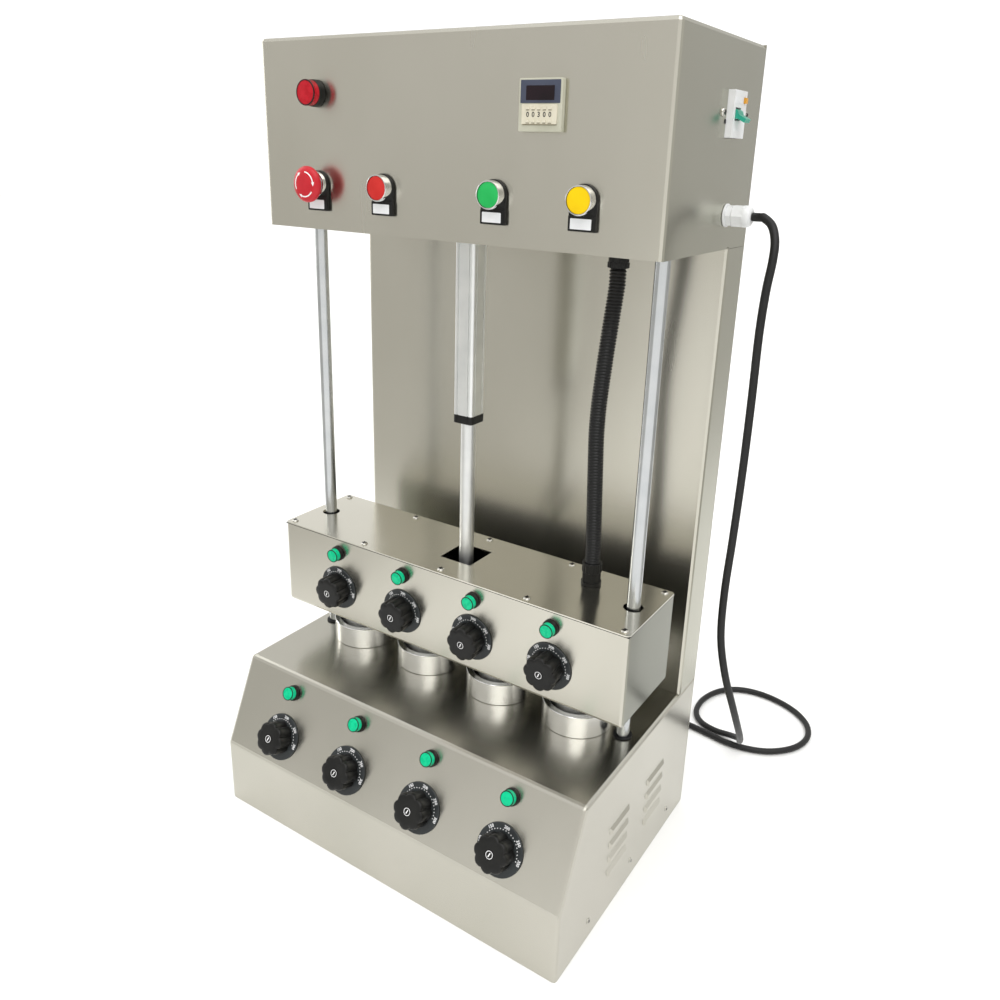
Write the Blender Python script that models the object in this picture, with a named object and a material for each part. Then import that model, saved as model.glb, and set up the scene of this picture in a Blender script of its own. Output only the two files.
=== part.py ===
# Countertop machine that bakes four pizza cones: a base with four moulds, a column,
# a head with the controls, and a carriage of four heated plungers that a linear
# actuator lowers into the moulds. Metres, +Z up, front towards -Y, origin on the
# table under the middle of the base.

from math import cos, hypot, pi, radians, sin, tau

import bmesh
import bpy
from mathutils import Matrix, Vector

# Sheet metal and gaps
sheet = 0.0015
touch_gap = 0.0003
running_gap = 0.0004
overrun = 0.004
fold_radius = 0.0040
fold_steps = 2
fold_profile_share = 0.5
weld_distance = 0.00001
smooth_angle = radians(35)

# Round pieces: sides of each polygon
mould_sides = 20
rod_sides = 12
dial_sides = 16
small_sides = 10
shaft_sides = 6
hex_sides = 6

# Casing
body_width = 0.520
base_depth = 0.356
base_height = 0.201
front_strip_share = 0.4428
slope_run = 0.050
machine_height = 0.979
head_height = 0.209
head_front = -0.053
column_depth = 0.052
relief_notch = 0.004
back_lip = 0.018
floor_flange_height = 0.035

# Louvres in the base sides
louvre_rows = 4
louvre_low_height = 0.0605
louvre_pitch = 0.0203
louvre_length = 0.051
louvre_height = 0.0095
louvre_proud = 0.0026
louvre_wall = 0.0009
louvre_taper = 0.0035
louvre_group_places = (-0.037, 0.0648)

# Guide rods, the bars that hold them and the carriage's bushes
rod_row = 0.0085
rod_inset = 0.025
rod_radius = 0.008
rod_hole_radius = 0.0105
rod_top_reach = 0.024
rod_bar_end = 0.018
rod_bar_depth = 0.029
rod_bar_height = 0.020
bush_radius = 0.0135
bush_length = 0.072

# Moulds in the base
mould_count = 4
mould_spacing_share = 0.22115
collar_share = 0.387
collar_height = 0.029
mould_shoulder = 0.0025
mould_hole_clearance = 0.0006
mould_depth = 0.116
mould_mouth_chamfer = 0.0008
pocket_depth = 0.015
heater_band_wall = 0.004
heater_band_drop = 0.071
heater_band_height = 0.040
heater_rail_thickness = 0.003
heater_rail_height = 0.020
heater_rail_bite = 0.0015

# Plungers in the carriage
plunger_flange_inset = 0.0045
plunger_flange_height = 0.008
plunger_root_inset = 0.0093
plunger_tip_radius = 0.0112
plunger_length = 0.1278
plunger_nose = 0.0042
plunger_nose_share = 0.7
plunger_hole_clearance = 0.0008
dough_gap = 0.0065

# Carriage
carriage_rest = 0.055
carriage_front = -0.054
carriage_depth = 0.125
carriage_height = 0.118
carriage_travel = 0.200
carriage_lip = 0.014
lid_opening_width = 0.046
lid_opening_depth = 0.049
lid_rod_hole_radius = 0.012

# Linear actuator
tube_width = 0.027
tube_drop = 0.208
tube_top_reserve = 0.040
tube_lobe = 0.0048
tube_groove = 0.0010
tube_groove_width = 0.0016
end_cap_width = 0.0275
end_cap_height = 0.010
push_rod_radius = 0.00925
push_rod_stroke_reserve = 0.038
push_rod_bore_clearance = 0.0005
gearbox_width = 0.050
gearbox_depth = 0.044
gearbox_height = 0.032
motor_radius = 0.019
motor_top_drop = 0.0307
bracket_width = 0.030
bracket_depth = 0.040
bracket_height = 0.034
bracket_socket_depth = 0.024

# Dials, thermostats and lamps on the carriage and the base
carriage_dial_spacing = 0.109
carriage_dial_rise = 0.0467
carriage_lamp_rise = 0.097
base_dial_spacing = 0.1153
base_dial_share = 0.3237
base_lamp_spacing = 0.114
base_lamp_share = 0.8096
dial_plate_radius = 0.0297
dial_plate_thickness = 0.0018
knob_radius = 0.0217
knob_height = 0.0222
knob_top_chamfer = 0.0026
knob_notch = 0.0017
knob_lobes = 8
knob_points_per_lobe = 3
knob_disc_radius = 0.0085
knob_disc_depth = 0.0007
knob_skirt_share = 0.96
shaft_radius = 0.003
shaft_depth = 0.0125
shaft_clearance = 0.0006
thermostat_radius = 0.020
thermostat_depth = 0.024
thermostat_bush_radius = 0.0052
thermostat_strip_height = 0.016
thermostat_strip_thickness = 0.003
panel_hole_clearance = 0.0004
lamp_lens_radius = 0.0088
lamp_height = 0.0127
lamp_ring_radius = 0.0100
lamp_ring_height = 0.0048
lamp_neck_radius = 0.0060
lamp_depth = 0.018
lamp_strip_height = 0.008
lamp_strip_thickness = 0.002
lens_crown_share = 0.68
lens_shoulder_share = 0.80

# Controls on the head
power_lamp_place = -0.174
power_lamp_drop = 0.0597
power_lens_radius = 0.01375
power_lamp_height = 0.018
power_ring_radius = 0.0145
power_ring_height = 0.0055
power_lamp_neck_radius = 0.0108
power_lamp_depth = 0.030
button_row_rise = 0.0515
stop_place = -0.1745
rise_place = -0.0765
down_place = 0.0713
start_place = 0.1752
plate_width = 0.0305
plate_height = 0.0445
plate_thickness = 0.0043
plate_top_reach = 0.0150
bezel_radius = 0.0143
bezel_height = 0.014
bezel_lip = 0.0007
button_neck_radius = 0.0109
button_body_radius = 0.0140
button_body_depth = 0.032
button_thread_length = 0.007
cap_radius = 0.0127
cap_disc = 0.0040
cap_stem_radius = 0.0094
cap_length = 0.013
cap_recess = 0.0006
cap_crown = 0.0006
cap_crown_share = 0.80
cap_clearance = 0.0004
cap_travel = 0.0035
stop_bezel_height = 0.0087
stop_bore_radius = 0.0084
plunger_pin_radius = 0.0060
plunger_pin_shoulder = 0.0140
plunger_pin_body_radius = 0.0080
plunger_pin_tip = 0.0187
plunger_pin_depth = 0.010
stop_travel = 0.005
mushroom_radius = 0.020
mushroom_rim_low = 0.0165
mushroom_rim_high = 0.0200
mushroom_top = 0.0250
mushroom_neck_radius = 0.0095
mushroom_crown_share = 0.58
mushroom_edge_share = 0.93
timer_place = 0.1245
timer_drop = 0.0727
timer_width = 0.048
timer_proud = 0.007
timer_frame = 0.0012
timer_body_width = 0.0444
timer_body_depth = 0.070
timer_window_width = 0.033
timer_window_height = 0.013
timer_window_drop = 0.0059
timer_window_left = 0.0069
timer_recess = 0.0010
timer_block_width = 0.0405
timer_block_height = 0.0185
timer_block_drop = 0.0229
timer_block_proud = 0.0012

# Circuit breaker on the right side of the head
breaker_inset = 0.0832
breaker_drop = 0.07305
breaker_width = 0.036
breaker_height = 0.0451
breaker_proud = 0.007
breaker_body_height = 0.076
breaker_body_depth = 0.058
breaker_shoulder = 0.002
toggle_forward = 0.0048
toggle_width = 0.015
toggle_slot_height = 0.0125
toggle_slot_depth = 0.0075
toggle_barrel_radius = 0.0048
toggle_lever_length = 0.0135
toggle_lever_thickness = 0.0040
toggle_rest_angle = radians(28)
test_button_back = 0.0117
test_button_rise = 0.01355
test_button_width = 0.0052
test_button_proud = 0.0024
test_button_depth = 0.006
test_button_travel = 0.002
breaker_strap_height = 0.022
breaker_strap_reach = 0.0445

# Cable gland
gland_inset = 0.073
gland_rise = 0.0367
gland_ring_radius = 0.0120
gland_ring_height = 0.0025
gland_hex_radius = 0.0117
gland_hex_height = 0.0085
gland_cap_radius = 0.0123
gland_cap_height = 0.021
gland_dome_radius = 0.0104
gland_tip_radius = 0.0070
gland_reach = 0.029
gland_thread_radius = 0.0098
gland_thread_length = 0.012
gland_nut_radius = 0.0140
gland_nut_height = 0.005

# Conduit between head and carriage
conduit_radius = 0.00925
conduit_valley_radius = 0.00775
conduit_bore_radius = 0.0062
conduit_row = 0.033
conduit_bottom_place = 0.1672
conduit_top_place = 0.1742
conduit_ribs = 78
conduit_bow_shares = ((0.30, 0.62), (0.50, 0.985), (0.70, 0.66))
conduit_bow = -0.0095
nut_radius = 0.0124
nut_height = 0.029
nut_flange_height = 0.004
nut_collar_radius = 0.0112
nut_collar_height = 0.007
nut_neck_radius = 0.0085
nut_neck_length = 0.008
fitting_radius = 0.0120
fitting_height = 0.020
fitting_collar_height = 0.006
fitting_neck_length = 0.014

# Power cord: 9 mm round lead with a moulded plug
cord_diameter = 0.009
cord_step = 0.0265
cord_sides_resolution = 2
coil_offset = (-0.178, 0.084)
coil_middle_radius = 0.0495
coil_turns = 2
coil_layer_step = 0.0097
coil_points_per_turn = 24
coil_sides_resolution = 1
plug_axis_height = 0.0187
plug_lead = 0.056
plug_lead_rise_shares = (0.30, 0.51, 0.72)
plug_lead_straight_share = 0.16
plug_relief_radius = 0.0065
plug_relief_length = 0.022
plug_grip_radius = 0.0125
plug_grip_length = 0.018
plug_face_radius = 0.0183
plug_face_length = 0.014
plug_pin_radius = 0.0024
plug_pin_length = 0.019
plug_pin_spacing = 0.019

# The cord's route from the gland down to the table, round its loop and away behind the
# machine, chosen by eye: how far beyond the right wall and the back face each point lies,
# and how high it hangs as a share of the gland's height; the others lie on the table
cord_route = (
    (0.0420, -0.0740),
    (0.0525, -0.0780),
    (0.0595, -0.0855),
    (0.0615, -0.0925),
    (0.0600, -0.0970),
    (0.0590, -0.0990),
    (0.0600, -0.1000),
    (0.0600, -0.1005),
    (0.0585, -0.1005),
    (0.0565, -0.1005),
    (0.0580, -0.0980),
    (0.0660, -0.0900),
    (0.0740, -0.0700),
    (0.0750, -0.0340),
    (0.0660, 0.0190),
    (0.0530, 0.0690),
    (0.0410, 0.1150),
    (0.0290, 0.1510),
    (0.0100, 0.1700),
    (-0.0150, 0.1750),
    (-0.0410, 0.1830),
    (-0.0580, 0.2060),
    (-0.0610, 0.2430),
    (-0.0490, 0.2800),
    (-0.0260, 0.3050),
    (0.0050, 0.3160),
    (0.0410, 0.3140),
    (0.0770, 0.3000),
    (0.1030, 0.2740),
    (0.1120, 0.2400),
    (0.1020, 0.2050),
    (0.0760, 0.1760),
    (0.0450, 0.1610),
    (0.0100, 0.1565),
    (-0.0250, 0.1610),
    (-0.0600, 0.1640),
    (-0.1000, 0.1570),
    (-0.1350, 0.1450),
)
cord_height_shares = (
    0.9996, 0.9904, 0.9717, 0.9468, 0.9106, 0.8545, 0.7672, 0.6674, 0.5677, 0.4804, 0.4055,
    0.3407, 0.2771, 0.2098, 0.1449, 0.0938, 0.0526, 0.0239, 0.0065,
)

# Finishes: sRGB colour, roughness, metallic
brushed_steel = ("#C9C6BD", 0.30, 1.0)
floor_steel = ("#B9B7AF", 0.40, 1.0)
bright_aluminium = ("#DCDCD8", 0.18, 1.0)
anodised_aluminium = ("#D3D6DA", 0.35, 1.0)
hard_chrome = ("#D9DADB", 0.12, 1.0)
chrome = ("#E2E2E0", 0.10, 1.0)
zinc_steel = ("#B7B9BB", 0.35, 1.0)
black_plastic = ("#1B1B1C", 0.42, 0.0)
black_rubber = ("#191919", 0.60, 0.0)
dark_dial = ("#2B2C2E", 0.38, 0.0)
green_lens = ("#12C87E", 0.15, 0.0)
red_lens = ("#DC1E32", 0.15, 0.0)
green_cap = ("#35C25C", 0.30, 0.0)
red_cap = ("#E0323C", 0.30, 0.0)
yellow_cap = ("#FFD400", 0.30, 0.0)
mushroom_red = ("#E63040", 0.32, 0.0)
cream_plastic = ("#E8E4CC", 0.40, 0.0)
white_plastic = ("#EDEDEA", 0.38, 0.0)
teal_plastic = ("#2FA88F", 0.35, 0.0)
amber_plastic = ("#F0B020", 0.35, 0.0)
brown_ceramic = ("#7A5A44", 0.55, 0.0)

# Places worked out from the sizes above
half_width = body_width / 2
base_front = -base_depth / 2
back_face = base_depth / 2
column_front = back_face - column_depth
front_strip_height = base_height * front_strip_share
head_bottom = machine_height - head_height
rod_spacing = body_width - 2 * rod_inset
rod_bar_width = rod_spacing + 2 * rod_bar_end
mould_spacing = body_width * mould_spacing_share
collar_radius = mould_spacing * collar_share
mould_body_radius = collar_radius - mould_shoulder
plunger_root_radius = collar_radius - plunger_root_inset
plunger_flange_radius = collar_radius - plunger_flange_inset
heater_band_low = base_height - heater_band_drop
carriage_bottom = base_height + carriage_rest
cover_back = back_face - sheet - touch_gap
slope_rise = base_height - front_strip_height
slope_length = hypot(slope_run, slope_rise)
base_dial_up_slope = slope_length * base_dial_share
base_lamp_up_slope = slope_length * base_lamp_share
carriage_back = carriage_front + carriage_depth
carriage_top = carriage_bottom + carriage_height
box_top = carriage_top - sheet - touch_gap
carriage_floor_top = carriage_bottom + sheet + touch_gap
carriage_dial_height = carriage_bottom + carriage_dial_rise
carriage_lamp_height = carriage_bottom + carriage_lamp_rise
collar_bottom = base_height + touch_gap
mould_top = base_height + collar_height
mould_bottom = base_height - mould_depth
plunger_root = carriage_floor_top
plunger_tip = plunger_root - plunger_length
head_floor_bottom = head_bottom + touch_gap
head_floor_top = head_floor_bottom + sheet
power_lamp_middle = machine_height - power_lamp_drop
button_row_height = head_bottom + button_row_rise
timer_middle = machine_height - timer_drop
breaker_row = back_face - breaker_inset
breaker_middle = machine_height - breaker_drop
toggle_row = breaker_row - toggle_forward
toggle_middle = breaker_middle
test_button_row = breaker_row + test_button_back
test_button_middle = breaker_middle + test_button_rise
gland_row = back_face - gland_inset
gland_middle = head_bottom + gland_rise
tube_bottom = head_bottom - tube_drop
floor_top = sheet + touch_gap
cord_radius = cord_diameter / 2
push_rod_bore = push_rod_radius + push_rod_bore_clearance
push_rod_top = tube_bottom + push_rod_stroke_reserve
tube_top = push_rod_top + carriage_travel + tube_top_reserve
rod_bore = rod_radius + running_gap


def linear_colour(hex_colour):
    """Turn an sRGB hex colour into linear red, green, blue and alpha."""
    channels = [int(hex_colour[start:start + 2], 16) / 255 for start in (1, 3, 5)]
    return [c / 12.92 if c <= 0.04045 else ((c + 0.055) / 1.055) ** 2.4 for c in channels] + [1.0]


def make_material(name, finish):
    """One Principled material with the colour, roughness and metallic value of a finish."""
    hex_colour, roughness, metallic = finish
    material = bpy.data.materials.new(name)
    material.use_nodes = True
    shader = material.node_tree.nodes["Principled BSDF"]
    shader.inputs["Base Color"].default_value = linear_colour(hex_colour)
    shader.inputs["Roughness"].default_value = roughness
    shader.inputs["Metallic"].default_value = metallic
    return material


def link_mesh(name, mesh):
    """Shade a mesh, sharp at its creases, and put it in the scene."""
    mesh.shade_smooth()
    mesh.set_sharp_from_angle(angle=smooth_angle)
    obj = bpy.data.objects.new(name, mesh)
    bpy.context.collection.objects.link(obj)
    return obj


def make_piece(name, shape, finish, place=None):
    """Turn a bmesh into a named sub-part, at a place of its own when it moves."""
    mesh = bpy.data.meshes.new(name)
    shape.to_mesh(mesh)
    shape.free()
    mesh.materials.append(make_material(name, finish))
    obj = link_mesh(name, mesh)
    if place is not None:
        obj.matrix_world = place
    return obj


def apply_tool(obj, shape, operation):
    """Cut a shape out of a sub-part, or unite it, by a hidden tool object."""
    tool_name = obj.name + "_" + operation.lower()
    mesh = bpy.data.meshes.new(tool_name)
    shape.to_mesh(mesh)
    shape.free()
    tool = bpy.data.objects.new(tool_name, mesh)
    bpy.context.collection.objects.link(tool)
    tool.matrix_world = obj.matrix_world
    tool.hide_render = True
    tool.display_type = "WIRE"
    modifier = obj.modifiers.new(tool_name, "BOOLEAN")
    modifier.operation = operation
    modifier.solver = "EXACT"
    modifier.object = tool


def add(target, shape, place=None):
    """Move a shape to its place and add it to a bmesh that collects several."""
    if place is not None:
        shape.transform(place)
    mesh = bpy.data.meshes.new("collected")
    shape.to_mesh(mesh)
    shape.free()
    target.from_mesh(mesh)
    bpy.data.meshes.remove(mesh)
    return target


def turned(profile, sides):
    """Spin an outline of (radius, height) points round Z; it is closed or ends on the axis."""
    shape = bmesh.new()
    points = [shape.verts.new((radius, 0, height)) for radius, height in profile]
    for start, end in zip(points, points[1:]):
        shape.edges.new((start, end))
    geometry = shape.verts[:] + shape.edges[:]
    bmesh.ops.spin(shape, geom=geometry, axis=(0, 0, 1), angle=tau, steps=sides, use_merge=True)
    bmesh.ops.remove_doubles(shape, verts=shape.verts, dist=weld_distance)
    bmesh.ops.recalc_face_normals(shape, faces=shape.faces)
    return shape


def cylinder(radius, low, high, sides):
    """A plain round bar along Z."""
    return turned([(0, high), (radius, high), (radius, low), (0, low)], sides)


def ring(inner, outer, low, high, sides):
    """A round ring with a square section."""
    outline = [(outer, high), (outer, low), (inner, low), (inner, high), (outer, high)]
    return turned(outline, sides)


def loft(rings):
    """A closed solid through rings of as many points each, from the lowest ring up."""
    shape = bmesh.new()
    loops = [[shape.verts.new(point) for point in points] for points in rings]
    shape.faces.new(reversed(loops[0]))
    shape.faces.new(loops[-1])
    count = len(loops[0])
    for lower, upper in zip(loops, loops[1:]):
        for index in range(count):
            following = (index + 1) % count
            shape.faces.new((lower[index], lower[following], upper[following], upper[index]))
    return shape


def stacked(sections):
    """A block through rectangles (x low, x high, y low, y high) at rising heights z."""
    rings = []
    for x_low, x_high, y_low, y_high, z in sections:
        rings.append(((x_low, y_low, z), (x_high, y_low, z), (x_high, y_high, z), (x_low, y_high, z)))
    return loft(rings)


def block(low, high):
    """A plain block between two corners."""
    return stacked([(low[0], high[0], low[1], high[1], z) for z in (low[2], high[2])])


def prism(outline, low, high):
    """A counter-clockwise outline of (x, y) points drawn out along Z."""
    return loft([[(x, y, z) for x, y in outline] for z in (low, high)])


def plate_outline(half, front, back, front_radius, back_radius):
    """A counter-clockwise rectangle across X, its corners rounded like the folds round it."""
    corners = (
        (-half, front, pi, front_radius, 1, 1),
        (half, front, 3 * pi / 2, front_radius, -1, 1),
        (half, back, 0, back_radius, -1, -1),
        (-half, back, pi / 2, back_radius, 1, -1),
    )
    outline = []
    for x, y, start, radius, inward_x, inward_y in corners:
        if radius <= 0:
            outline.append((x, y))
            continue
        middle = (x + inward_x * radius, y + inward_y * radius)
        for step in range(fold_steps + 1):
            turn = start + pi / 2 * step / fold_steps
            outline.append((middle[0] + radius * cos(turn), middle[1] + radius * sin(turn)))
    return outline


def inset_outline(outline, distance):
    """Move each side of a counter-clockwise outline inwards by a distance."""
    count = len(outline)
    moved = []
    for index in range(count):
        before = Vector(outline[index - 1])
        here = Vector(outline[index])
        after = Vector(outline[(index + 1) % count])
        first = (here - before).normalized()
        second = (after - here).normalized()
        first_normal = Vector((-first.y, first.x))
        second_normal = Vector((-second.y, second.x))
        reach = distance / (1 + first_normal.dot(second_normal))
        moved.append(tuple(here + (first_normal + second_normal) * reach))
    return moved


def folded_form(outline, half, radius, is_open):
    """A YZ outline drawn out along X with its folds rounded, except round its open sides."""
    shape = prism(outline, -half, half)
    shape.transform(Matrix(((0, 0, 1, 0), (1, 0, 0, 0), (0, 1, 0, 0), (0, 0, 0, 1))))
    folds = [edge for edge in shape.edges if not is_open(*[vertex.co for vertex in edge.verts])]
    bmesh.ops.bevel(
        shape, geom=folds, offset=radius, offset_type="OFFSET",
        segments=fold_steps, profile=fold_profile_share, affect="EDGES",
    )
    return shape


def front_place(x, y, z):
    """A place on a face that looks forwards: local Z points out of it, local Y up."""
    return Matrix.Translation((x, y, z)) @ Matrix.Rotation(pi / 2, 4, "X")


def slope_place(x, up_slope):
    """A place on the sloped control panel, at a distance up it from its lower fold."""
    share = up_slope / slope_length
    tilt = Matrix.Rotation(pi / 2 - Vector((slope_rise, slope_run)).angle_signed((1, 0)), 4, "X")
    y = base_front + slope_run * share
    z = front_strip_height + slope_rise * share
    return Matrix.Translation((x, y, z)) @ tilt


def side_place(side, y, z):
    """A place on a side wall: local Z points out of it; side is 1 right, -1 left."""
    return Matrix.Translation((side * half_width, y, z)) @ Matrix.Rotation(side * pi / 2, 4, "Y")


def wall_place(side):
    """Axes on a side wall with local X along the wall, local Y up and local Z out."""
    turn = Matrix(((0, 0, side, 0), (side, 0, 0, 0), (0, 1, 0, 0), (0, 0, 0, 1)))
    return Matrix.Translation((side * half_width, 0, 0)) @ turn


def evenly(count, spacing):
    """Places either side of the middle."""
    return [(index - (count - 1) / 2) * spacing for index in range(count)]


mould_places = evenly(mould_count, mould_spacing)
rod_places = evenly(2, rod_spacing)
base_dials = [slope_place(x, base_dial_up_slope) for x in evenly(mould_count, base_dial_spacing)]
base_lamp_places = [slope_place(x, base_lamp_up_slope) for x in evenly(mould_count, base_lamp_spacing)]
carriage_dials = [
    front_place(x, carriage_front, carriage_dial_height) for x in evenly(mould_count, carriage_dial_spacing)
]
carriage_lamp_places = [
    front_place(x, carriage_front, carriage_lamp_height) for x in evenly(mould_count, carriage_dial_spacing)
]


def drill(target, place, radius, sides, depth=sheet):
    """Add a round hole through a wall to a cutting shape."""
    return add(target, cylinder(radius, -depth - overrun, overrun, sides), place)


def louvre_hood():
    """The outside of one pressed louvre, standing proud of the wall at its lower edge."""
    end = louvre_length / 2
    low = -louvre_height / 2
    return stacked(
        [
            (-end, end, low, -low, -sheet / 2),
            (-end, end, low, -low, 0),
            (-end + louvre_taper, end - louvre_taper, low, 0, louvre_proud),
        ]
    )


def louvre_hollow():
    """The inside of one louvre, open through the wall and at its lower edge."""
    end = louvre_length / 2 - louvre_wall
    low = -louvre_height / 2 + louvre_wall
    high = louvre_height / 2 - 2 * louvre_wall
    mouth = -louvre_height / 2 - overrun
    top = louvre_proud - louvre_wall
    return stacked(
        [
            (-end, end, low, high, -sheet - overrun),
            (-end, end, low, high, 0),
            (-end, end, mouth, high, touch_gap),
            (-end + louvre_taper, end - louvre_taper, mouth, -louvre_wall, top),
        ]
    )


def louvre_places():
    """Every louvre of both side walls."""
    places = []
    for side in (1, -1):
        for group in louvre_group_places:
            for row in range(louvre_rows):
                height = louvre_low_height + row * louvre_pitch
                places.append(wall_place(side) @ Matrix.Translation((side * group, height, 0)))
    return places


def make_base_shell():
    """The welded base shell: front strip, sloped panel, top and sides, open below and behind."""
    outline = [
        (base_front, 0),
        (cover_back, 0),
        (cover_back, base_height),
        (base_front + slope_run, base_height),
        (base_front, front_strip_height),
    ]

    def is_open(start, end):
        return max(start.z, end.z) < touch_gap or min(start.y, end.y) > cover_back - touch_gap

    shape = folded_form(outline, half_width, fold_radius, is_open)
    shell = make_piece("base_shell", shape, brushed_steel)
    inner = inset_outline(outline, sheet)
    inner[0] = (inner[0][0], -overrun)
    inner[1] = (cover_back + overrun, -overrun)
    inner[2] = (cover_back + overrun, inner[2][1])

    def is_inner_open(start, end):
        return max(start.z, end.z) < 0 or min(start.y, end.y) > cover_back

    hollow = folded_form(inner, half_width - sheet, fold_radius - sheet, is_inner_open)
    apply_tool(shell, hollow, "DIFFERENCE")

    hoods = bmesh.new()
    hollows = bmesh.new()
    for place in louvre_places():
        add(hoods, louvre_hood(), place)
        add(hollows, louvre_hollow(), place)
    apply_tool(shell, hoods, "UNION")

    for x in mould_places:
        place = Matrix.Translation((x, rod_row, base_height))
        drill(hollows, place, mould_body_radius + mould_hole_clearance, mould_sides)
    for x in rod_places:
        drill(hollows, Matrix.Translation((x, rod_row, base_height)), rod_hole_radius, rod_sides)
    for place in base_dials:
        drill(hollows, place, thermostat_bush_radius + panel_hole_clearance, small_sides)
    for place in base_lamp_places:
        drill(hollows, place, lamp_neck_radius + panel_hole_clearance, small_sides)
    apply_tool(shell, hollows, "DIFFERENCE")


def make_base_floor():
    """The floor tray inside the shell, with a flange up each side that the shell screws to."""
    outer = half_width - sheet - touch_gap
    front = base_front + sheet + touch_gap
    outline = plate_outline(outer, front, cover_back, fold_radius - sheet, 0)
    floor = make_piece("base_floor", prism(outline, 0, floor_flange_height), floor_steel)
    inner = outer - sheet
    cut = block(
        (-inner, front - overrun, sheet),
        (inner, cover_back + overrun, floor_flange_height + overrun),
    )
    apply_tool(floor, cut, "DIFFERENCE")


def make_column():
    """The column cover, a wide channel with lips behind, and the full-height back panel."""
    low = base_height + touch_gap
    outline = [
        (column_front, low),
        (cover_back, low),
        (cover_back, head_bottom),
        (column_front, head_bottom),
    ]

    def is_open(start, end):
        ends = max(start.z, end.z) < low + touch_gap or min(start.z, end.z) > head_bottom - touch_gap
        return ends or min(start.y, end.y) > cover_back - touch_gap

    shape = folded_form(outline, half_width, fold_radius, is_open)
    column = make_piece("column_cover", shape, brushed_steel)
    front = column_front + sheet
    back = cover_back - sheet
    inner_outline = [
        (front, low - overrun),
        (back, low - overrun),
        (back, head_bottom + overrun),
        (front, head_bottom + overrun),
    ]

    def is_inner_open(start, end):
        ends = max(start.z, end.z) < low or min(start.z, end.z) > head_bottom
        return ends or min(start.y, end.y) > back - touch_gap

    inner_half = half_width - sheet
    hollow = folded_form(inner_outline, inner_half, fold_radius - sheet, is_inner_open)
    apply_tool(column, hollow, "DIFFERENCE")
    opening = inner_half - back_lip
    cut = block(
        (-opening, back - overrun, low - overrun), (opening, cover_back + overrun, head_bottom + overrun)
    )
    apply_tool(column, cut, "DIFFERENCE")

    make_piece(
        "back_panel",
        block((-half_width, back_face - sheet, 0), (half_width, back_face, machine_height)),
        brushed_steel,
    )


def button_row():
    """Names, places across the head and cap finishes of the button row, the stop button's first."""
    return (
        ("stop", stop_place, mushroom_red),
        ("rise", rise_place, red_cap),
        ("down", down_place, green_cap),
        ("start", start_place, yellow_cap),
    )


def button_place(x):
    """A place on the button row."""
    return front_place(x, head_front, button_row_height)


def make_head():
    """The head cover, open below and behind, and its floor plate."""
    low = head_bottom + touch_gap
    outline = [
        (head_front, low),
        (cover_back, low),
        (cover_back, machine_height),
        (head_front, machine_height),
    ]

    def is_open(start, end):
        return max(start.z, end.z) < low + touch_gap or min(start.y, end.y) > cover_back - touch_gap

    shape = folded_form(outline, half_width, fold_radius, is_open)
    cover = make_piece("head_cover", shape, brushed_steel)
    inner = inset_outline(outline, sheet)
    inner[0] = (inner[0][0], low - overrun)
    inner[1] = (cover_back + overrun, low - overrun)
    inner[2] = (cover_back + overrun, inner[2][1])

    def is_inner_open(start, end):
        return max(start.z, end.z) < low or min(start.y, end.y) > cover_back

    hollow = folded_form(inner, half_width - sheet, fold_radius - sheet, is_inner_open)
    apply_tool(cover, hollow, "DIFFERENCE")

    cuts = bmesh.new()
    for _, x, _ in button_row():
        drill(cuts, button_place(x), button_neck_radius + panel_hole_clearance, small_sides)
    lamp_hole = power_lamp_neck_radius + panel_hole_clearance
    drill(cuts, front_place(power_lamp_place, head_front, power_lamp_middle), lamp_hole, small_sides)
    reach = timer_body_width / 2 + panel_hole_clearance
    timer_cut = block((-reach, -reach, -sheet - overrun), (reach, reach, overrun))
    add(cuts, timer_cut, front_place(timer_place, head_front, timer_middle))
    half_span = breaker_width / 2 + panel_hole_clearance
    half_rise = breaker_height / 2 + panel_hole_clearance
    inside = half_width - sheet - overrun
    add(cuts, block(
        (inside, breaker_row - half_span, breaker_middle - half_rise),
        (half_width + overrun, breaker_row + half_span, breaker_middle + half_rise),
    ))
    gland_hole = gland_thread_radius + panel_hole_clearance
    drill(cuts, side_place(1, gland_row, gland_middle), gland_hole, small_sides)
    for side in (1, -1):
        middle = side * half_width
        add(cuts, block(
            (middle - sheet - overrun, column_front - relief_notch, low - overrun),
            (middle + sheet + overrun, column_front, low + relief_notch / 2),
        ))
    apply_tool(cover, cuts, "DIFFERENCE")

    outer = half_width - sheet - touch_gap
    front = head_front + sheet + touch_gap
    outline = plate_outline(outer, front, cover_back, fold_radius - sheet, 0)
    floor = make_piece("head_floor", prism(outline, head_floor_bottom, head_floor_top), brushed_steel)
    cuts = bmesh.new()
    for x in rod_places:
        drill(cuts, Matrix.Translation((x, rod_row, head_floor_top)), rod_bore, rod_sides)
    conduit_hole = Matrix.Translation((conduit_top_place, conduit_row, head_floor_top))
    drill(cuts, conduit_hole, nut_neck_radius + panel_hole_clearance, small_sides)
    reach = tube_width / 2 + touch_gap
    add(cuts, block(
        (-reach, rod_row - reach, head_floor_bottom - overrun),
        (reach, rod_row + reach, head_floor_top + overrun),
    ))
    apply_tool(floor, cuts, "DIFFERENCE")


def plunger_radius_at(height):
    """The plunger's radius at a height, along its straight taper."""
    share = (height - plunger_tip) / (plunger_root - plunger_tip)
    return plunger_tip_radius + (plunger_root_radius - plunger_tip_radius) * share


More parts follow.
